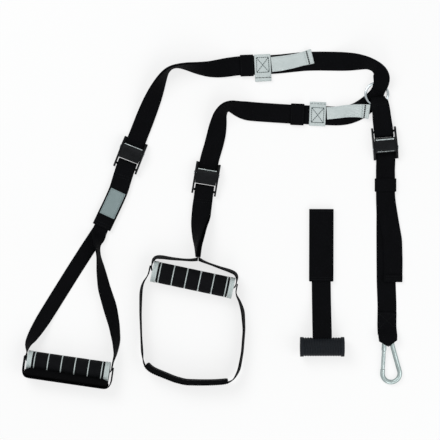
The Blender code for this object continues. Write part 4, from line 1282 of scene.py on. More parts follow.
RIGHT_FOOT_STATIONS = (
    (145.6, 278.8, 88, 2), (142.8, 283.8, 83, 1.2), (141.2, 292, 79, 0.6),
    (140.8, 313, 82, 0.6), (141.6, 336, 84, 1.4), (142.6, 352, 81, 3.1),
    (143.6, 361, 90, 3.1), (146.6, 367.4, 90, 3.1), (152.6, 371.6, 90, 3.1),
    (161, 375, 90, 3.1), (174.5, 380.4, 90, 3.1), (185.4, 383.2, 90, 3.1),
    (199.6, 383.5, 90, 3.1), (213, 383.3, 90, 3.1), (226.5, 382.3, 90, 3.1),
    (233.6, 379, 86, 3.1), (239, 369, 80, 3.1), (242.2, 352, 82, 1.4),
    (244, 329, 82, 0.6), (242.8, 311, 77, 0.6), (239.4, 300.6, 84, 1.4),
)
UPPER_TAB_STATIONS = (
    (271.3, 64.8, 0, 2), (280, 63.8, 0, 1.9), (292, 61.6, 0, 1.2, 0.94),
    (303, 58.9, 0, 1, 0.9), (308.4, 57.4, 0, 1, 0.98), (312, 56.5, 0, 1),
)
LOWER_TAB_STATIONS = (
    (326.5, 113.4, 0, 2, 0.84), (334, 113, 4, 2, 0.8), (345, 111.4, 11, 2.3, 0.84),
    (356, 110.9, 11, 2.4, 0.86), (363, 111.3, 6, 2.5, 0.92), (368.6, 112, 4, 2.5, 0.98),
)
DOOR_STATIONS = (
    (321.3, 206, 0, 1), (321.2, 245, 0, 1), (321.1, 284, 0, 1), (321.3, 300, 0, 1.6),
    (321.5, 320, 0, 4.6), (321.7, 334, 0, 7.4), (321.7, 340, 0, 7.4), (321.7, 352, 0, 7.4),
)


@dataclass(frozen=True)
class Placed:
    """Place of a rigid piece: photo column and row, and the way that its own axis points."""

    px: float
    py: float
    right: float
    down: float

    @property
    def centre(self) -> Point:
        """Give the pixel of the piece's middle."""
        return self.px, self.py

    def matrix(self, height: float = 0.0) -> Matrix:
        """Give the placing at a height over the floor."""
        return (Matrix.Translation(LAYOUT.spot(*self.centre, height))
                @ Matrix.Rotation(atan2(-self.down, self.right), 4, "Z"))

    def beside(self, along: float) -> Point:
        """Give the pixel at a distance along the piece's own axis."""
        return (self.px + self.right * along / LAYOUT.pixel,
                self.py + self.down * along / LAYOUT.pixel)

    def station(self, along: float, across: float, lift: float) -> Station:
        """Give a station of a strap on edge at a place beside the piece.

        Args:
            along: Distance along the axis.
            across: Distance to its side.
            lift: Lift in plies.

        Returns:
            The station.
        """
        return (self.px + (self.right * along - self.down * across) / LAYOUT.pixel,
                self.py + (self.down * along + self.right * across) / LAYOUT.pixel,
                ON_EDGE, lift)


@dataclass
class Buckle:
    """Cam buckle: bent cheeks with plate and bar, toothed lever, pin and spring."""

    label: str
    where: Placed
    lever: Body
    half: float = 0.027
    tip: float = 0.004
    plate: float = 0.002
    bar_at: float = 0.020
    bar_r: float = 0.002
    bar_slack: float = 0.0025
    bevel: float = 0.00045
    slack: float = 0.0058
    inner: float = 0.0355
    pin_at: float = -0.008
    pin_z: float = 0.0125
    # Lips along the lever's edges as along, height, radius and share of the width; their pale
    # finish is a painted highlight.
    highlight_lips: tuple[Row, ...] = ((-0.0068, 0.0033, 0.0008, 0.45),)
    highlight_lip_sides: int = 12
    blunt_share: float = 0.4
    blunt_from_share: float = 0.97

    @property
    def tail_height(self) -> float:
        """Give the height of the tail's middle over the strap's under the plate."""
        return LAYOUT.thick + self.plate + 2 * LAYOUT.gap

    @property
    def bar_gap(self) -> float:
        """Give the distance from the bar's axis to the middle of what wraps it."""
        return self.bar_r + LAYOUT.gap + LAYOUT.half_t

    @property
    def bar_low(self) -> float:
        """Give the height at which a strap passes under the bar."""
        axis = 2 * LAYOUT.pitch + self.bar_r
        return axis - self.bar_gap - LAYOUT.half_t

    def build(self) -> None:
        """Bevel the frame's pieces and dress them."""
        for part, body in (("frame", Body.WEBBING), ("lever", self.lever)):
            node = f"{self.label}_cam_{part}"
            enrol(softened(node, f"{self.label}_buckle_{part}", self.bevel), body,
                  Trim.BUCKLE_BLACK, node)
        for part, trim in (("pin", Trim.PIN_STEEL), ("spring", Trim.SPRING_STEEL)):
            carried(f"{self.label}_cam_{part}", trim)
        # Rounded lips on the lever's edges, coloured pale as painted highlights of those edges.
        placing, work = self.where.matrix(self.pin_z), bmesh.new()
        for along, height, radius, share in self.highlight_lips:
            near, blunt = share * self.blunt_from_share, radius * self.blunt_share
            points = [placing @ Vector((self.pin_at + along, self.inner * place, height))
                      for place in (-share, -near, near, share)]
            add_tube(work, points, [blunt, radius, radius, blunt], self.highlight_lip_sides)
        enrol(publish(f"{self.label}_worn_edges", work), self.lever, Trim.BUCKLE_WORN)


UPPER_BUCKLE = Buckle("upper", Placed(130.7, 155.3, -0.366, 0.931), Body.UPPER_LEVER)
LOWER_BUCKLE = Buckle("lower", Placed(206.1, 178.9, -0.165, 0.986), Body.LOWER_LEVER)
# The anchor's lever has two painted highlight lips: a wide one on its edge towards the ring and a
# thin one on its other edge.
ANCHOR_BUCKLE = Buckle("anchor", Placed(384.5, 143.5, -0.087, -0.996), Body.ANCHOR_LEVER,
                       slack=0.0035, highlight_lips=((0.0142, 0.0034, 0.0012, 0.44),
                                           (-0.0058, 0.0038, 0.0004, 0.4)))


@dataclass
class LegStraps:
    """Both leg straps, which meet inside the ring, with bands and pull tabs."""

    join: Point = (377.2, 90.6)
    upper_tail: Point = (249.5, 65.7)
    lower_tail: Point = (293.5, 114.4)
    upper_keeper: Point = (246.8, 65.7)
    lower_keeper: Point = (297.2, 114.5)
    upper_adjuster: Point = (262.6, 65.2)
    lower_adjuster: Point = (317.4, 115.3)
    keeper_length: float = 0.0225
    adjuster_length: float = 0.0275
    tab_width: float = 0.025
    tab_inset_share: float = 0.6
    upper_slack: float = 0.0096
    lower_slack: float = 0.00432
    hem: float = 0.010
    hem_shares: Point = (0.58, 0.7)
    box_inset: float = 0.0035
    rise_share: float = 4 / 3
    thread: float = 0.0006
    # A nearly unbroken dark line in the loose fold's grooves, which is painted shade: its dash,
    # gap, rise and places across the fold.
    crease: float = 0.005
    crease_space: float = 0.0002
    crease_rise_share: float = 0.56
    crease_shares: Point = (0.0, 0.44)

    def build(self) -> None:
        """Build straps, bands, tabs and their stitching."""
        leg = Route(LEG_STATIONS, LAYOUT.wide)
        self.straps(leg)
        for label, spot in (("upper", self.upper_keeper), ("lower", self.lower_keeper)):
            mark, edge = leg.near(*spot), self.keeper_length / 2 - LAYOUT.thick
            lay_keeper(f"{label}_keeper_band", f"{label}_keeper", leg, mark, self.keeper_length,
                       leg.width / 2)
            seam = Seam(f"{label}_keeper_thread", leg, 2 * LAYOUT.pitch + LAYOUT.half_t)
            seam.across(leg.width / 2 - LAYOUT.thick, mark - edge, mark + edge)
            seam.sew(Trim.BLACK_THREAD)
        self.adjuster("upper", leg, self.upper_adjuster, self.upper_slack, UPPER_TAB_STATIONS,
                      Body.UPPER_TAB)
        self.adjuster("lower", leg, self.lower_adjuster, self.lower_slack, LOWER_TAB_STATIONS,
                      Body.LOWER_TAB)

    def straps(self, leg: Route) -> None:
        """Build both straps round the plates of their buckles.

        Args:
            leg: Route of both legs.
        """
        middle, gap = leg.near(*self.join), LAYOUT.gap / 2
        for buckle, sign, tail in ((UPPER_BUCKLE, 1, self.upper_tail),
                                   (LOWER_BUCKLE, -1, self.lower_tail)):
            high, pitch = buckle.tail_height, LAYOUT.pitch
            centre = leg.near(*buckle.where.centre)
            near = centre + sign * buckle.half
            far = centre + sign * buckle.half * self.rise_share
            bend = centre - sign * buckle.tip
            arc = turn(bend, high / 2, high / 2, 90, 270 if sign > 0 else -90)
            rows = (leg.run(leg.near(*tail), far, pitch), leg.run(far, near, pitch, high),
                    leg.run(near, bend, high), arc, leg.run(bend, middle - sign * gap))
            lay_strap(f"{buckle.label}_leg", leg.lay(*rows), f"{buckle.label}_leg_strap")

    def adjuster(self, label: str, leg: Route, spot: Point, slack: float,
                 stations: Sequence[Station], body: Body) -> None:
        """Build a grey adjuster loop with its sewn box and its pull tab.

        Args:
            label: First word of the names.
            leg: Route of the strap inside.
            spot: Pixel of the loop's middle.
            slack: How far the loose fold stands out.
            stations: Stations of the pull tab.
            body: Body of the pull tab.
        """
        mark, pitch, half_t = leg.near(*spot), LAYOUT.pitch, LAYOUT.half_t
        path = [(-across, height) for across, height in
                wrap_path(leg.width / 2, -pitch, pitch, slack)][::-1]
        enrol(band(f"{label}_adjuster_loop", leg, mark, self.adjuster_length, path),
              Body.WEBBING, Trim.GREY_WEBBING, f"{label}_adjuster")
        seam = Seam(f"{label}_adjuster_thread", leg, pitch + half_t, thread=self.thread)
        edge = self.adjuster_length / 2 - self.box_inset
        reach = leg.width / 2 - self.box_inset
        seam.box(mark - edge, mark + edge, -reach, reach)
        seam.sew(Trim.GREY_THREAD)
        # Dark line along the loose fold's grooves: painted shade where the fold shades the loop.
        crease = Seam(f"{label}_adjuster_crease", leg, pitch * self.crease_rise_share + half_t,
                      stitch=self.crease, space=self.crease_space, thread=self.thread)
        rest, side = self.adjuster_length / 2 - LAYOUT.gap, -leg.width / 2 - half_t
        for share in self.crease_shares:
            across = side - LAYOUT.gap - slack * share
            crease.line((mark - rest, across), (mark + rest, across))
        crease.sew(Trim.SLIT_THREAD)
        tab = Route(stations, self.tab_width)
        end = tab.length - pitch / 2
        rungs = tab.lay(tab.run(LAYOUT.gap, end),
                        turn(end, pitch / 2, pitch / 2, -90, 90),
                        tab.run(end, end - self.hem, pitch))
        enrol(Ribbon(f"{label}_pull_webbing", rungs).build(), body, Trim.GREY_WEBBING,
              f"{label}_pull_tab")
        # The hem's stitches are real, but their near-black finish paints the shade of the deep
        # seam.
        hem = Seam(f"{label}_pull_thread", tab, pitch + half_t, thread=self.thread)
        hem.across(self.tab_width / 2 - LAYOUT.thick * self.tab_inset_share,
                   *(end - self.hem * share for share in self.hem_shares))
        hem.sew(Trim.SLIT_THREAD, body)


@dataclass
class AnchorSide:
    """Ring, short sewn loop and main strap of the anchor end."""

    ring: Point = (376.5, 94.5)
    ring_radius: float = 0.01885
    ring_rod: float = 0.0022
    ring_steps: int = 96
    ring_sides: int = 20
    fold: Point = (378.2, 99.4)
    fold_share: float = 0.78
    keeper: Point = (385.3, 185.1)
    split: Point = (385.3, 166.5)
    stub_end: Point = (386.9, 312.0)
    hem: float = 0.010
    keeper_length: float = 0.0225
    bunch_share: float = 0.14
    bunch_length: float = 0.0104
    bunch_thick_share: float = 1.4
    spread_share: float = 0.96
    settle_rods: int = 6
    loop_shares: Point = (0.2, 0.5)
    tail_shares: Point = (0.35, 0.8)
    stub_shares: Point = (0.3, 2.6)

    def build(self) -> None:
        """Build ring, loop, strap, band and stitching."""
        centre = LAYOUT.spot(*self.ring, 2 * LAYOUT.pitch + self.ring_rod)
        angles = (2 * pi * i / self.ring_steps for i in range(self.ring_steps))
        points = [centre + self.ring_radius * Vector((cos(a), sin(a), 0)) for a in angles]
        work = bmesh.new()
        add_tube(work, points, self.ring_rod, self.ring_sides, closed=True)
        enrol(publish("chrome_ring", work), Body.RING, Trim.RING_CHROME, "strap_ring")
        self.loop()
        self.strap()

    def loop(self) -> None:
        """Build the loop that joins the ring to the cam buckle's bar."""
        loop = Route(ANCHOR_LOOP_STATIONS, LAYOUT.wide)
        buckle, half_t = ANCHOR_BUCKLE, LAYOUT.half_t
        fold = loop.near(*self.fold)
        bar = loop.near(*buckle.where.beside(buckle.bar_at)) + buckle.bar_slack + buckle.slack
        gap = self.ring_rod + LAYOUT.gap + half_t
        high, low, share = 2 * gap, buckle.bar_low, self.fold_share
        middle, settled = (fold + bar) / 2, fold + self.hem / 2
        rungs = loop.lay(
            loop.run(middle - LAYOUT.gap, fold, 0.0, 0.0, (1, share)),
            turn(fold, gap, gap, 270, 90, share),
            loop.run(fold, settled, high, high, (share, 1)),
            loop.run(settled, bar, high, low + 2 * buckle.bar_gap),
            turn(bar, low + buckle.bar_gap, buckle.bar_gap, 90, -90),
            loop.run(bar, middle + LAYOUT.gap, low, 0.0))
        lay_strap("anchor_loop", rungs, "anchor_loop")
        seam = Seam("anchor_loop_thread", loop, high + half_t)
        seam.across(loop.width / 2 - 2 * LAYOUT.thick,
                    *(settled + self.hem * share for share in self.loop_shares))
        seam.sew(Trim.BLACK_THREAD)

    def strap(self) -> None:
        """Build the main strap from its tail through the buckle to the hook."""
        main, tail = Route(MAIN_STATIONS, LAYOUT.wide), Route(MAIN_TAIL_STATIONS, LAYOUT.wide)
        buckle, hook, pitch, thick = ANCHOR_BUCKLE, HOOK, LAYOUT.pitch, LAYOUT.thick
        centre = main.near(*buckle.where.centre)
        high, low = buckle.tail_height, centre - buckle.tip
        end = tail.length - pitch / 2
        top, rod, narrow = main.near(*hook.where.centre), hook.rod, self.bunch_share
        over = 2 * (rod + hook.play) + thick
        inside = top + rod + hook.play + thick + thick / 2
        settled, stub = top - self.settle_rods * rod, main.near(*self.stub_end)
        rungs = tail.lay(tail.run(end - self.hem, end, pitch),
                         turn(end, pitch / 2, pitch / 2, 90, -90), tail.run(end, 0.0))
        rungs += main.lay(
            main.run(main.near(*self.split), centre + buckle.half, pitch, high),
            main.run(centre + buckle.half, low, high),
            turn(low, high / 2, high / 2, 90, 270),
            main.run(low, top - self.bunch_length),
            main.run(top - self.bunch_length, top - rod, 0.0, 0.0, (1, narrow)),
            main.run(top - rod, top + rod, 0.0, 0.0, (narrow, narrow)),
            [(inside - thick, thick / 2, narrow, self.bunch_thick_share),
             (inside, over / 3, narrow, 2), (inside, over * 2 / 3, narrow, 2),
             (inside - thick / 2, over + LAYOUT.gap, narrow * 2, 1)],
            main.run(top, top - 2 * rod, over, over, (self.spread_share, 1)),
            main.run(top - 2 * rod, settled, over, pitch), main.run(settled, stub, pitch))
        lay_strap("main", rungs, "main_strap")
        lay_keeper("main_keeper_band", "main_keeper", main, main.near(*self.keeper),
                   self.keeper_length, main.width / 2, Body.KEEPER)
        hem = Seam("main_tail_thread", tail, pitch + thick / 2)
        reach = main.width / 2 - 2 * thick
        hem.across(reach, *(end - self.hem * share for share in self.tail_shares))
        sewn = Seam("main_stub_thread", main, pitch + thick / 2)
        sewn.box(*(stub + self.hem * share for share in self.stub_shares), -reach, reach)
        hem.sew(Trim.BLACK_THREAD)
        sewn.sew(Trim.BLACK_THREAD)


@dataclass
class SnapHook:
    """Pear shaped snap hook with a sprung gate."""

    where: Placed = Placed(387.3, 340.4, 0.108, 0.994)
    rod: float = 0.004
    wide: float = 0.0146
    narrow: float = 0.0066
    span: float = 0.049
    play: float = 0.0014
    gate_rod: float = 0.0034
    gate_start: float = 0.0095
    gate_length: float = 0.031
    gate_gap: float = 0.0006
    tongue: float = 0.0024
    tongue_r: float = 0.0028
    tongue_rim: float = 0.0003
    tongue_steps: int = 12
    top_steps: int = 24
    end_steps: int = 36
    sides: int = 24
    side_shares: tuple[float, ...] = (0.25, 0.5, 0.75)
    gate_rim_share: float = 0.12
    gate_end_share: float = 0.88

    @property
    def placing(self) -> Matrix:
        """Give the hook's place: its top over the strap, its end on the floor.

        Returns:
            The placing.
        """
        height = LAYOUT.thick + self.play + self.rod
        lean = asin((height - self.rod) / (self.narrow + self.span + self.wide))
        return self.where.matrix(height) @ Matrix.Rotation(lean, 4, "Y")

    def side(self, along: float) -> Vector:
        """Give a place on the gate's side at a distance from the top."""
        share = (along - self.narrow) / self.span
        return Vector((along, -mix(self.narrow, self.wide, share), 0.0))

    def line(self, low: Vector, high: Vector) -> list[Vector]:
        """List the rod's middle line from one end of the gate round to the other.

        Args:
            low: Where the gate is hinged.
            high: Where the gate closes.

        Returns:
            The points.
        """
        slope = atan2(self.wide - self.narrow, self.span)
        top, bottom = self.narrow, self.narrow + self.span
        points = [low, self.side(top + self.gate_start / 2)]
        points += [Vector((top - self.narrow * sin(a), -self.narrow * cos(a), 0.0))
                   for a in (slope + (pi - 2 * slope) * i / self.top_steps
                             for i in range(self.top_steps + 1))]
        points += [Vector((mix(top, bottom, share), mix(self.narrow, self.wide, share), 0.0))
                   for share in self.side_shares]
        points += [Vector((bottom + self.wide * sin(a), self.wide * cos(a), 0.0))
                   for a in (-slope + (pi + 2 * slope) * i / self.end_steps
                             for i in range(self.end_steps + 1))]
        return points + [high]

    def build(self) -> None:
        """Build body, gate and pin."""
        start = self.narrow + self.gate_start
        low, high = self.side(start), self.side(start + self.gate_length)
        axis = (high - low).normalized()
        shift = self.rod + self.tongue_r
        pivot = low + axis * (shift - self.gate_gap)
        flat = Matrix((
            (axis.x, 0.0, axis.y, pivot.x), (axis.y, 0.0, -axis.x, pivot.y),
            (0.0, 1.0, 0.0, pivot.z), (0, 0, 0, 1)))
        work = bmesh.new()
        add_tube(work, self.line(low, high), self.rod, self.sides)
        outline = [(-shift, -self.tongue_r),
                   *corner(0.0, 0.0, self.tongue_r, -90, 90, self.tongue_steps),
                   (-shift, self.tongue_r)]
        add_prism(work, outline, -self.tongue / 2, self.tongue / 2, flat, self.tongue_rim)
        body = publish("zinc_hook", work)
        gate = bmesh.new()
        ends = (low + axis * self.gate_gap, high - axis * self.gate_gap)
        rim = axis * self.gate_rod * self.gate_rim_share
        blunt = self.gate_rod * self.gate_end_share
        add_tube(gate, [ends[0], ends[0] + rim, ends[1] - rim, ends[1]],
                 [blunt, self.gate_rod, self.gate_rod, blunt], self.sides)
        clear = self.tongue_r + LAYOUT.gap + self.gate_gap
        slot = self.tongue / 2 + LAYOUT.gap
        tool = bmesh.new()
        add_prism(tool, [(-shift * 2, -clear * 2), (clear, -clear * 2), (clear, clear * 2),
                         (-shift * 2, clear * 2)], -slot, slot, flat, 0.0)
        leaf = carve(publish("zinc_gate", gate), publish("gate_slot", tool))
        for piece, rides, node in ((body, Body.HOOK, "hook_body"),
                                   (leaf, Body.GATE, "hook_gate")):
            piece.data.transform(self.placing)
            enrol(piece, rides, Trim.HOOK_ZINC, node)
        carried("hook_pin", Trim.PIN_STEEL)


HOOK = SnapHook()


@dataclass
class Grip:
    """Foam grip with ribs between its lengths of foam and a cap at each end."""

    label: str
    where: Placed
    body: Body
    height: float = 0.018
    cap_r: float = 0.018
    cap_length: float = 0.0084
    cap_bore: float = 0.0135
    tube_r: float = 0.0146
    foam_r: float = 0.0174
    foam_length: float = 0.02102
    foam_count: int = 5
    rib: float = 0.00165
    rib_r: float = 0.0179
    end_foam: float = 0.0034
    away: float = 0.0032
    rim: float = 0.0006
    round_share: float = 0.3
    groove_shares: Point = (0.45, 0.62)
    groove_share: float = 0.975
    crown_share: float = 0.3

    @property
    def inner(self) -> float:
        """Give half the length between the caps."""
        return (self.foam_count * self.foam_length / 2 + (self.foam_count + 1) * self.rib / 2
                + self.end_foam)

    @property
    def half(self) -> float:
        """Give half the whole length."""
        return self.inner + self.cap_length

    @property
    def beside(self) -> float:
        """Give the distance from the grip's middle to the handle strap beside it."""
        return self.half + self.away

    @property
    def lift(self) -> float:
        """Give the lift of a handle strap on edge beside the grip."""
        return (self.height - LAYOUT.narrow / 2) / LAYOUT.pitch

    def build(self) -> None:
        """Build tube, ribs, foam and caps."""
        placing = self.where.matrix(self.height)
        tube_work, foam = bmesh.new(), bmesh.new()
        add_lathe(tube_work, [(-self.inner, self.cap_bore), (self.inner, self.cap_bore),
                              (self.inner, self.tube_r), (-self.inner, self.tube_r)], placing)
        low, place, edge = self.tube_r + LAYOUT.gap, self.inner - self.end_foam, self.inner
        for _ in range(self.foam_count + 1):
            start = place - self.rib
            rib = [(place, self.tube_r), (place, self.rib_r), (start, self.rib_r),
                   (start, self.tube_r)]
            add_lathe(tube_work, rounded(rib, self.rib * self.round_share), placing, ROUND_SIDES)
            self.add_foam(foam, place, edge, low, placing)
            edge, place = start, start - self.foam_length
        self.add_foam(foam, -self.inner, edge, low, placing)
        enrol(publish(f"{self.label}_ribbed_tube", tube_work), self.body, Trim.GRIP_PLASTIC,
              f"{self.label}_grip_tube")
        enrol(publish(f"{self.label}_foam", foam), self.body, Trim.GRIP_FOAM,
              f"{self.label}_grip_foam")
        for name, sign in (("outer", -1), ("inner", 1)):
            start, stop = sign * (self.inner + LAYOUT.gap), sign * self.half
            dip, rise = (mix(start, stop, share) for share in self.groove_shares)
            groove, work = self.cap_r * self.groove_share, bmesh.new()
            outline = rounded([(start, self.cap_bore), (start, self.cap_r), (dip, self.cap_r),
                               (dip, groove), (rise, groove), (rise, self.cap_r),
                               (stop, self.cap_r), (stop, self.cap_bore)], self.rim / 2)
            add_lathe(work, outline, placing, ROUND_SIDES)
            enrol(publish(f"{self.label}_{name}_end", work), self.body, Trim.GRIP_PLASTIC,
                  f"{self.label}_{name}_cap")

    def add_foam(self, work: Work, start: float, end: float, low: float, placing: Matrix) -> None:
        """Add one length of foam, crowned a little between its ends.

        Args:
            work: The mesh to add to.
            start: Where it starts along the grip.
            end: Where it ends.
            low: Its inner radius.
            placing: Where the grip lies.
        """
        start, end = start + LAYOUT.gap, end - LAYOUT.gap
        crown = self.foam_r + LAYOUT.gap / 2
        outline = [(start, low), (end, low), (end, self.foam_r),
                   (mix(start, end, 1 - self.crown_share), crown),
                   (mix(start, end, self.crown_share), crown), (start, self.foam_r)]
        bend = min(self.rim, (end - start) * self.round_share)
        add_lathe(work, rounded(outline, bend), placing, ROUND_SIDES)


@dataclass
class FootLoop:
    """Foot loop that hangs from both ends of a grip, with its padded cradle."""

    label: str
    grip: Grip
    body: Body
    pad_width: float = 0.038
    pad_thick: float = 0.0075
    lean_radius: float = 0.0205
    lean_thick: float = 0.005
    lean_angles: Point = (60, 66)
    lean_ends: float = 52
    lean_reach: float = 0.0705
    lean_bend: float = 0.0025
    lean_round: float = 0.0048
    pad_taper: float = 0.74
    pad_start: Point = (144.8, 364.4)
    pad_end: Point = (229.0, 382.6)
    pad_fill: float = 0.7
    pad_rim: float = 0.0035
    pad_rim_share: float = 0.62
    pad_columns: int = 8
    pad_corner: float = 0.8
    seam_spans: int = 14
    lean_shares: tuple[float, ...] = (0.0, 0.04, 0.14, 0.3, 0.55, 1.0, 1.5, 2.0)
    lean_steps: int = 8
    lean_turns: int = 11
    lean_rim: float = 0.0016
    lean_rim_share: float = 0.12
    hug_shares: Point = (2.2, 2.7)

    def dress(self, strap: Piece, pad: Piece) -> None:
        """Args:
            strap: The foot strap.
            pad: Its pad.
        """
        enrol(strap, self.body, Trim.BLACK_WEBBING, f"{self.label}_foot_strap")
        enrol(pad, self.body, Trim.PAD_CLOTH, f"{self.label}_foot_pad")

    def pad_rows(self, foot: Route, start: float, end: float, inward: float) -> list[Row]:
        """List the open pad's profile, thin at both rims and thinner towards its end.

        Args:
            foot: Route of the foot strap.
            start: Distance of the pad's first rim.
            end: Distance of its last rim.
            inward: How far its middle lies inside the strap.

        Returns:
            The rows.
        """
        wide, thick = self.pad_width / LAYOUT.narrow, self.pad_thick / LAYOUT.thick
        thin = inward * (1 - self.pad_thick * (1 - self.pad_taper) / 2 / abs(inward))
        rows = foot.run(start, end, 0.0, 0.0, (wide, wide), (thick, thick * self.pad_taper))
        return [(mark, mix(inward, thin, (mark - start) / (end - start)), share,
                 level * mix(self.pad_rim_share, 1.0, min(
                     1.0, (mark - start) / self.pad_rim, (end - mark) / self.pad_rim)))
                for mark, _, share, level in rows]

    def build_open(self) -> None:
        """Build the loop that lies open on its edge."""
        where, lift, third = self.grip.where, self.grip.lift, LAYOUT.narrow / 3
        away = self.grip.beside + LAYOUT.pitch
        first = [where.station(-away, across, lift) for across in (-third, third)]
        last = [where.station(away, across, lift) for across in (third, -third)]
        foot = Route([*first, *RIGHT_FOOT_STATIONS, *last], LAYOUT.narrow)
        strap = Ribbon(f"{self.label}_foot_webbing", foot.lay(foot.run(0.0, foot.length)))
        start, end = foot.near(*self.pad_start), foot.near(*self.pad_end)
        inward = LAYOUT.half_t + LAYOUT.gap + self.pad_thick / 2
        centre, _, _, normal, _ = foot.at((start + end) / 2)
        if normal.dot(LAYOUT.spot(*where.centre) - centre) < 0:
            inward = -inward
        rungs = foot.lay(self.pad_rows(foot, start, end, inward))
        pad = Ribbon(f"{self.label}_foot_cradle", rungs, corner=self.pad_corner,
                     columns=self.pad_columns)
        self.dress(strap.build(), pad.build())
        seam = Seam(f"{self.label}_cradle_thread", foot, LAYOUT.half_t)
        facing = 1 if inward < 0 else -1
        seam.height *= facing
        seam.thread *= facing
        reach = LAYOUT.narrow / 2 - LAYOUT.thick
        marks = [mix(start, end, i / self.seam_spans) for i in range(self.seam_spans + 1)]
        for across in (-reach, reach):
            seam.line(*((mark, across) for mark in marks))
        seam.sew(Trim.BLACK_THREAD, self.body)

    def lean_marks(self) -> list[float]:
        """List places along the leaning pad, close together at its rounded ends.

        Returns:
            The places.
        """
        near = [self.lean_reach - share * self.lean_round for share in self.lean_shares]
        steps = [near[-1] * i / self.lean_steps for i in range(self.lean_steps)]
        right = steps + near[::-1]
        return [-mark for mark in right[:0:-1]] + right

    def section(self, angle: float, thick: float) -> list[Point]:
        """Give the leaning pad's section, from the floor up and over the grip.

        Args:
            angle: How far it leans over, in degrees.
            thick: Its thickness.

        Returns:
            Corners as across and height from the grip's axis.
        """
        points: list[Point] = []
        bends = [angle * i / self.lean_turns for i in range(self.lean_turns + 1)]
        for radius, order in ((self.lean_radius, bends),
                              (self.lean_radius + thick, bends[::-1])):
            arc = [(-radius * cos(radians(a)), radius * sin(radians(a))) for a in order]
            foot = [(-radius, LAYOUT.gap - self.grip.height), (-radius, -self.grip.height / 2)]
            points += foot + arc if order[0] == 0 else arc + foot[::-1]
        return rounded(points, min(self.lean_rim, thick / 3), 3)

    def build_leaning(self) -> None:
        """Build the loop that stands up against its grip."""
        grip = self.grip
        lean = grip.where.matrix(grip.height) @ Matrix.Rotation(pi / 2, 4, "Z")
        rings = []
        for along in self.lean_marks():
            ends = min(1.0, (self.lean_reach - abs(along)) / self.lean_round)
            thick = self.lean_thick * mix(self.lean_rim_share, 1.0, sqrt(ends * (2 - ends)))
            full = mix(*self.lean_angles, 0.5 + along / self.lean_reach / 2)
            angle = mix(self.lean_ends, full, ease(min(1.0, max(
                0.0, (self.lean_reach - abs(along)) / self.lean_round / 2))))
            rings.append([lean @ Vector((across, along, height))
                          for across, height in self.section(angle, thick)])
        work = bmesh.new()
        skin(work, rings, False)
        out = self.lean_radius + self.lean_thick + LAYOUT.gap + LAYOUT.half_t
        hug, third = self.lean_reach + 2 * LAYOUT.gap + LAYOUT.half_t, LAYOUT.narrow / 3
        away = grip.beside + LAYOUT.pitch
        low, high = (third * share for share in self.hug_shares)
        half = ((away, -third), (away, low), (hug, high), (hug, out - self.lean_bend),
                (hug - self.lean_bend, out))
        route = Route([grip.where.station(-along, across, grip.lift) for along, across in half]
                      + [grip.where.station(along, across, grip.lift)
                         for along, across in half[::-1]], LAYOUT.narrow)
        strap = Ribbon(f"{self.label}_foot_webbing", route.lay(route.run(0.0, route.length)))
        self.dress(strap.build(), publish(f"{self.label}_foot_cradle", work))


@dataclass
class Handle:
    """Neck strap and handle strap of one side, over its grip."""

    label: str
    grip: Grip
    buckle: Buckle
    neck_stations: Sequence[Station]
    out: Sequence[Station]
    back: Sequence[Station]
    plies: tuple[int, int]
    seam_places: Point = (0.003, 0.0075)
    seam_inset_share: float = 1.6

    def build(self) -> Route:
        """Build both straps and the grip.

        Returns:
            The route of the neck strap.
        """
        neck = Route(self.neck_stations, LAYOUT.wide)
        buckle, pitch, narrow = self.buckle, LAYOUT.pitch, LAYOUT.narrow
        bar = neck.near(*buckle.where.beside(buckle.bar_at))
        low, top, past = buckle.bar_low, 3 * pitch, bar + buckle.half / 2
        fold = bar - buckle.slack
        rungs = neck.lay(
            neck.run(neck.length, past), neck.run(past, bar, 0.0, low),
            neck.run(bar, fold, low),
            turn(fold, low + buckle.bar_gap, buckle.bar_gap, 270, 90),
            neck.run(fold, bar, low + 2 * buckle.bar_gap),
            neck.run(bar, past, low + 2 * buckle.bar_gap, top), neck.run(past, neck.length, top))
        lay_strap(f"{self.label}_neck", rungs, f"{self.label}_neck_strap")
        self.grip.build()
        half, where, lift = self.grip.half, self.grip.where, self.grip.lift
        away = self.grip.beside
        through = [where.station(along, across, lift) for along, across in (
            (-away, -narrow / 2), (-away, 0.0), (-half / 2, 0.0),
            (half / 2, 0.0), (away, 0.0), (away, -narrow / 2))]
        branch = Route([*self.out, *through, *self.back], narrow)
        start, share = past + 2 * LAYOUT.gap, narrow / LAYOUT.wide
        end = neck.length - LAYOUT.gap
        first, second = self.plies
        rungs = neck.lay(neck.run(start, end, first * pitch, None, (share, share)))
        rungs += branch.lay(branch.run(0.0, branch.length))
        rungs += neck.lay(neck.run(end, start, second * pitch, None, (share, share)))
        lay_strap(f"{self.label}_handle", rungs, f"{self.label}_handle_strap")
        seam = Seam(f"{self.label}_neck_thread", neck, top + LAYOUT.half_t)
        seam.across(LAYOUT.wide / 2 - LAYOUT.thick * self.seam_inset_share,
                    *(past + place for place in self.seam_places),
                    *(neck.length - place for place in self.seam_places))
        seam.sew(Trim.BLACK_THREAD)
        return neck


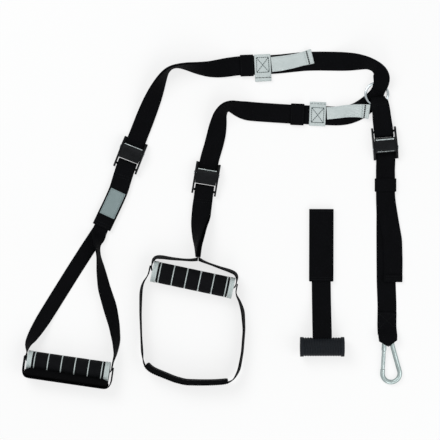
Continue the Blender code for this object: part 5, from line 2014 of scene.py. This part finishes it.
@dataclass
class Label:
    """Bare woven label, sewn on the left neck strap along its border."""

    neck: Route
    middle: Point = (113.0, 203.6)
    width: float = 0.0265
    length: float = 0.046
    thick: float = 0.0006
    border: float = 0.0016
    steps: int = 14
    stitch: float = 0.0019
    thread: float = 0.00026

    def build(self) -> None:
        """Build the label and its border seam."""
        mark = self.neck.near(*self.middle)
        height = 3 * LAYOUT.pitch + LAYOUT.half_t + LAYOUT.gap + self.thick / 2
        centre, tangent, side, normal, _ = self.neck.at(mark)
        rungs = []
        for i in range(self.steps + 1):
            shift = mix(-self.length / 2, self.length / 2, i / self.steps)
            rungs.append(Rung(centre + tangent * shift + normal * height, side, normal,
                              self.width / 2, self.thick / 2))
        enrol(Ribbon("bare_label", rungs).build(), Body.WEBBING, Trim.LABEL_CLOTH,
              "neck_label")
        seam = Seam("label_thread", self.neck, height + self.thick / 2, stitch=self.stitch,
                    thread=self.thread)
        end, reach = self.length / 2 - self.border, self.width / 2 - self.border
        seam.line((mark - end, -reach), (mark + end, -reach), (mark + end, reach),
                  (mark - end, reach), (mark - end, -reach))
        seam.sew(Trim.LABEL_THREAD)


@dataclass
class DoorAnchor:
    """Separate door anchor: sewn sleeve, strap and ribbed roller."""

    strap_top: Point = (321.2, 215.0)
    rise: Point = (321.2, 290.0)
    sleeve_middle: Point = (321.2, 245.2)
    roller: Point = (321.7, 346.2)
    roller_r: float = 0.0165
    rib_r: float = 0.0158
    dip_r: float = 0.0150
    roller_length: float = 0.074
    flange: float = 0.006
    ribs: int = 14
    core_r: float = 0.004
    sleeve_width: float = 0.041
    sleeve_length: float = 0.122
    round_share: float = 0.3

    def build(self) -> None:
        """Build strap, sleeve and roller."""
        route = Route(DOOR_STATIONS, LAYOUT.wide)
        pitch, half_t = LAYOUT.pitch, LAYOUT.half_t
        core, gap = route.near(*self.roller), self.core_r + LAYOUT.gap + half_t
        height = self.roller_r - route.at(core)[0].z
        top, rise = route.near(*self.strap_top), route.near(*self.rise)
        before = core - self.roller_r
        rungs = route.lay(
            route.run(top, rise), route.run(rise, before, 0.0, height - gap),
            route.run(before, core, height - gap), turn(core, height, gap, -90, 90),
            route.run(core, before, height + gap), route.run(before, rise, height + gap, pitch),
            route.run(rise, top, pitch))
        lay_strap("door", rungs, "door_strap")
        mark = route.near(*self.sleeve_middle)
        half = self.sleeve_width / 2 - LAYOUT.thick - LAYOUT.gap
        lay_keeper("door_sleeve_cloth", "door_sleeve", route, mark, self.sleeve_length, half)
        seam = Seam("door_sleeve_thread", route, 2 * pitch + half_t)
        end = self.sleeve_length / 2 - 2 * LAYOUT.thick
        seam.across(half, mark - end, mark + end, mark + end - 2 * LAYOUT.thick)
        seam.sew(Trim.BLACK_THREAD)
        self.build_roller(gap)
        carried("door_core", Trim.CORE_PLASTIC)

    def build_roller(self, gap: float) -> None:
        """Build the ribbed roller with the mouth that its strap leaves by.

        Args:
            gap: Height of the strap's middle over the axis.
        """
        half, bore = self.roller_length / 2, gap + LAYOUT.half_t + LAYOUT.gap
        body = half - self.flange
        outline = [(-half, bore), (-half, self.roller_r), (-body, self.roller_r)]
        step = 2 * body / (2 * self.ribs + 1)
        for i in range(2 * self.ribs + 1):
            radius = self.dip_r if i % 2 == 0 else self.rib_r
            outline += [(-body + i * step, radius), (-body + (i + 1) * step, radius)]
        outline += [(body, self.roller_r), (half, self.roller_r), (half, bore)]
        centre = LAYOUT.spot(*self.roller, self.roller_r)
        work, mouth = bmesh.new(), bmesh.new()
        add_lathe(work, rounded(outline, step * self.round_share, 3),
                  Matrix.Translation(centre), ROLLER_SIDES)
        wide, high = LAYOUT.wide / 2 + 2 * LAYOUT.gap, bore - LAYOUT.gap / 2
        add_prism(mouth, [(-wide, -high), (wide, -high), (wide, high), (-wide, high)],
                  0.0, 2 * self.roller_r, Matrix.Translation(centre), 0.0)
        enrol(carve(publish("ribbed_roller", work), publish("roller_mouth", mouth)),
              Body.WEBBING, Trim.ROLLER_RUBBER, "door_roller")


@dataclass
class Studio:
    """Pale floor, soft lamps, white surroundings and the camera straight above."""

    photo_side: float = 440.0
    height: float = 3.4
    floor_side: float = 12.0
    floor_cells: int = 8
    floor_glow: float = 0.72
    floor_colour: str = "f2f3f3"
    ambient: float = 0.5
    lamps: tuple[tuple[str, tuple[float, float, float], float, float], ...] = (
        ("key", (-1.3, 1.5, 2.3), 46.0, 1.6), ("fill", (1.8, -0.9, 2.1), 24.0, 2.0),
        ("rim", (0.2, -2.2, 1.5), 14.0, 1.2))

    def build(self) -> None:
        """Build floor, lamps, world and camera."""
        self.floor()
        self.world()
        for name, place, power, size in self.lamps:
            lamp = bpy.data.lights.new(name, "AREA")
            lamp.energy, lamp.size = power, size
            holder = bpy.data.objects.new(name, lamp)
            holder.location = place
            holder.rotation_euler = (-Vector(place)).to_track_quat("-Z", "Y").to_euler()
            bpy.context.scene.collection.objects.link(holder)
        data = bpy.data.cameras.new("above")
        middle = self.photo_side / 2
        data.sensor_fit = "HORIZONTAL"
        data.angle = 2 * atan2(middle * LAYOUT.pixel, self.height)
        camera = bpy.data.objects.new("above", data)
        camera.location = LAYOUT.spot(middle, middle, self.height)
        bpy.context.scene.collection.objects.link(camera)
        bpy.context.scene.camera = camera
        bpy.context.scene.view_settings.view_transform = "Standard"

    @staticmethod
    def background(wiring: Wiring) -> Socket:
        """Mask the rays that see the surroundings as plain white.

        Args:
            wiring: The material's wiring.

        Returns:
            The mask.
        """
        path = wiring.add("ShaderNodeLightPath")
        seen = wiring.math("ADD", path.outputs["Is Camera Ray"], path.outputs["Is Glossy Ray"])
        return wiring.math("ADD", seen, path.outputs["Is Transmission Ray"], clamp=True)

    def floor(self) -> None:
        """Build the floor, which shows white and keeps a soft shadow."""
        work = bmesh.new()
        bmesh.ops.create_grid(work, x_segments=self.floor_cells, y_segments=self.floor_cells,
                              size=self.floor_side / 2)
        floor = publish("floor", work)
        material = bpy.data.materials.new("pale_floor")
        material.use_nodes = True
        wiring = Wiring(material.node_tree)
        wiring.tree.nodes.clear()
        matt = wiring.feed(wiring.add("ShaderNodeBsdfDiffuse"), {0: tone(self.floor_colour)})
        glow = wiring.add("ShaderNodeEmission")
        share = wiring.math("MULTIPLY", self.background(wiring), self.floor_glow)
        mixed = wiring.feed(wiring.add("ShaderNodeMixShader"),
                            {0: share, 1: matt.outputs[0], 2: glow.outputs[0]})
        wiring.feed(wiring.add("ShaderNodeOutputMaterial"), {0: mixed.outputs[0]})
        floor.data.materials.append(material)

    def world(self) -> None:
        """Build surroundings that look white and light the object softly."""
        world = bpy.data.worlds.new("surroundings")
        world.use_nodes = True
        wiring = Wiring(world.node_tree)
        wiring.tree.nodes.clear()
        sky = wiring.feed(wiring.add("ShaderNodeBackground"), {"Strength": wiring.between(
            self.background(wiring), low=0.0, high=1.0, start=self.ambient, end=1.0)})
        wiring.feed(wiring.add("ShaderNodeOutputWorld"), {0: sky.outputs[0]})
        bpy.context.scene.world = world


def main() -> None:
    """Build the trainer piece by piece, then floor, light and camera."""
    logging.basicConfig(level=logging.INFO, format="%(message)s")
    for buckle in (UPPER_BUCKLE, LOWER_BUCKLE, ANCHOR_BUCKLE):
        buckle.build()
    LegStraps().build()
    AnchorSide().build()
    HOOK.build()
    left = Grip("left", Placed(69.2, 366.0, 0.9895, 0.1445), Body.LEFT_GRIP)
    right = Grip("right", Placed(193.0, 279.4, 0.9777, 0.2079), Body.RIGHT_GRIP)
    neck = Handle("left", left, UPPER_BUCKLE, LEFT_NECK_STATIONS, LEFT_BRANCH_OUT,
                  LEFT_BRANCH_BACK, (1, 2)).build()
    Label(neck).build()
    Handle("right", right, LOWER_BUCKLE, RIGHT_NECK_STATIONS, RIGHT_BRANCH_OUT,
           RIGHT_BRANCH_BACK, (2, 1)).build()
    FootLoop("left", left, Body.LEFT_FOOT).build_leaning()
    FootLoop("right", right, Body.RIGHT_FOOT).build_open()
    DoorAnchor().build()
    Studio().build()
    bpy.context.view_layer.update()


if __name__ == "__main__":
    main()
